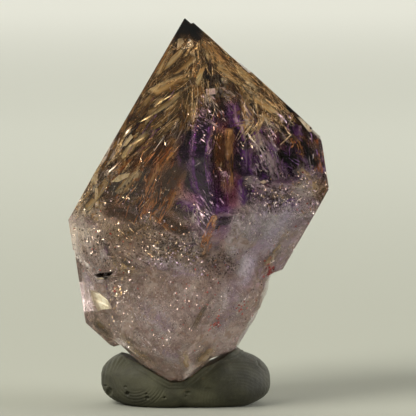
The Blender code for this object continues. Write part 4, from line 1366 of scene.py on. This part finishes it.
# Uneven skin: depth in millimetres and how fine.
DENTS = ((0.10, 0.28), (0.030, 1.6), (0.014, 4.2))
# The skin's step and how far all of it is pressed in, in millimetres.
SKIN_STEP = 0.13
SKIN_COVER = 0.03
# Distances from the crystal, in millimetres, at which the skin is left alone or swells, and how much.
NEAR_CRYSTAL = 1.2
SWELL_FROM = 0.8
SWELL_OVER = 0.5
SWELL_MOST = 0.26


def to_line(point, ends):
    """Distance of a picture point to a line between two others."""
    a, b = Vector(ends[0]), Vector(ends[1])
    share = max(0.0, min(1.0, (point - a).dot(b - a) / (b - a).length_squared))
    return (point - a - (b - a) * share).length


def tack_depth(place, normal):
    """Millimetres that a place of the pad's skin is pressed in. It swells out only against the crystal."""
    spot = place * 1000.0
    deep = SKIN_COVER
    near = SKIN.find_nearest(place)[3] / MM
    if near < NEAR_CRYSTAL:
        return 0.0 if near > SWELL_FROM else -SWELL_MOST * min(1.0, (SWELL_FROM - near) / SWELL_OVER)
    for depth, fine in DENTS:
        deep += depth * (0.5 + 0.5 * noise.noise(spot * fine))
    for azimuth, centre, inner, outer, pitch, depth in RIDGES:
        to_eye = (picture_turn(azimuth) @ EYE - place).normalized()
        if normal.dot(to_eye) < 0.15:
            continue
        radius = (pixel_of(place, azimuth) - Vector(centre)).length
        if not inner < radius < outer:
            continue
        edge = min(1.0, (radius - inner) / RIDGE_EDGE, (outer - radius) / RIDGE_EDGE)
        patch = noise.noise(spot * 0.35 + Vector((azimuth, 0.0, 0.0)))
        patchy = max(0.0, min(1.0, 0.75 + 1.2 * patch))
        bend = 0.8 * noise.noise(spot * 0.2)
        deep += depth * edge * patchy * (0.5 + 0.5 * math.cos(2.0 * math.pi * (radius / pitch + bend)))
    if normal.dot((EYE - place).normalized()) > 0.2:
        pixel = pixel_of(place)
        for centre, half, depth in PITS:
            off = math.hypot((pixel.x - centre[0]) / half[0], (pixel.y - centre[1]) / half[1])
            if off < PIT_RIM:
                deep += depth * (1.0 - (off / PIT_RIM) ** 2) ** 0.7
        near = min(to_line(pixel, ends) for ends in zip(FOLD, FOLD[1:]))
        if near < FOLD_HALF:
            deep += FOLD_DEPTH * (1.0 - near / FOLD_HALF)
    return deep


def make_tack():
    """Tack pad again with a finer skin: finger ridges, pits and a fold."""
    piece = placed("tack_skin", PAD.data.copy())
    finer = piece.modifiers.new("finer", "REMESH")
    finer.mode = "VOXEL"
    finer.voxel_size = SKIN_STEP * MM
    graph = bpy.context.evaluated_depsgraph_get()
    mesh = bpy.data.meshes.new_from_object(piece.evaluated_get(graph))
    piece.modifiers.clear()
    piece.data = mesh
    low, high = (Vector(corner) for corner in CAD_BOX)
    moves = [tack_depth(vert.co, vert.normal) for vert in mesh.vertices]
    places = [vert.co - vert.normal * (deep * MM) for vert, deep in zip(mesh.vertices, moves)]
    for vert, place in zip(mesh.vertices, places):
        vert.co = [min(max(part, least), most) for part, least, most in zip(place, low, high)]
    mesh.shade_smooth()
    mesh.materials.clear()
    mesh.materials.append(tack_material())
    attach(piece, "root")
    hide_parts("tack_pad")


def make_floor():
    """Large floor with painted shade in front of and near the object, and painted light that makes it lighter
    towards the back.
    """
    bm = bmesh.new()
    bmesh.ops.create_circle(bm, cap_ends=True, segments=96, radius=FLOOR_RADIUS)
    floor = placed("floor", mesh_from(bm, "floor"))
    material, web, shader = new_material("pale_floor")
    back = web.split(web.place())["Y"]
    # Painted shade in front of and near the object, painted light further back.
    near = web.mix(web.span(back, 0.0, 0.8), FLOOR_PAINTED_NEAR_SHADE, FLOOR_PAINTED_MIDDLE_SHADE)
    near = web.mix(web.span(back, -0.12, 0.03), FLOOR_PAINTED_FRONT_SHADE, near)
    web.feed(web.mix(web.span(back, 0.6, 2.4), near, FLOOR_PAINTED_FAR_LIGHT), shader.inputs["Base Color"])
    web.fill(shader, {"Roughness": 0.9, "Specular IOR Level": 0.1})
    floor.data.materials.append(material)


def make_surroundings():
    """Even dim light from the front and above, bright from behind."""
    world = bpy.data.worlds.new("studio")
    world.use_nodes = True
    bpy.context.scene.world = world
    sky = Web(world.node_tree)
    way = sky.split(sky.add("ShaderNodeTexCoord").outputs["Generated"])
    share = sky.math("MULTIPLY", sky.span(way["Y"], 0.05, 0.65), sky.span(way["Z"], 0.9, 0.5))
    background = world.node_tree.nodes["Background"]
    sky.feed(sky.mix(share, SURROUND_FRONT, SURROUND_BACK), background.inputs["Color"])


def make_lights():
    for name, (place, size, watts, colour) in LIGHTS.items():
        data = bpy.data.lights.new(name, "AREA")
        data.shape = "RECTANGLE"
        data.size, data.size_y = size
        data.energy = watts
        data.color = colour
        light = placed(name, data)
        light.location = place
        turn_towards(light, Vector(BACKDROP_AIM) if name == "backdrop" else Vector(LIT_POINT) - Vector(place))


def main():
    make_camera()
    make_floor()
    make_surroundings()
    make_lights()
    CRYSTAL.data.materials.clear()
    CRYSTAL.data.materials.append(crystal_material())
    PAD.data.materials.clear()
    PAD.data.materials.append(tack_material())
    make_zones()
    make_clouds()
    make_veils()
    scatter_over(SHARDS, SIDE_SHARDS, SHARD_SEED, scatter_shards, side_spot)
    scatter_over(STRANDS, SIDE_STRANDS, STRAND_SEED, scatter_strands, side_path)
    make_plates()
    make_tack()
    bpy.context.scene.view_settings.view_transform = "Standard"
    cycles = bpy.context.scene.cycles
    cycles.max_bounces = 24
    cycles.transmission_bounces = 20
    cycles.glossy_bounces = 8
    cycles.transparent_max_bounces = 48
    cycles.caustics_refractive = True
    cycles.caustics_reflective = True


main()
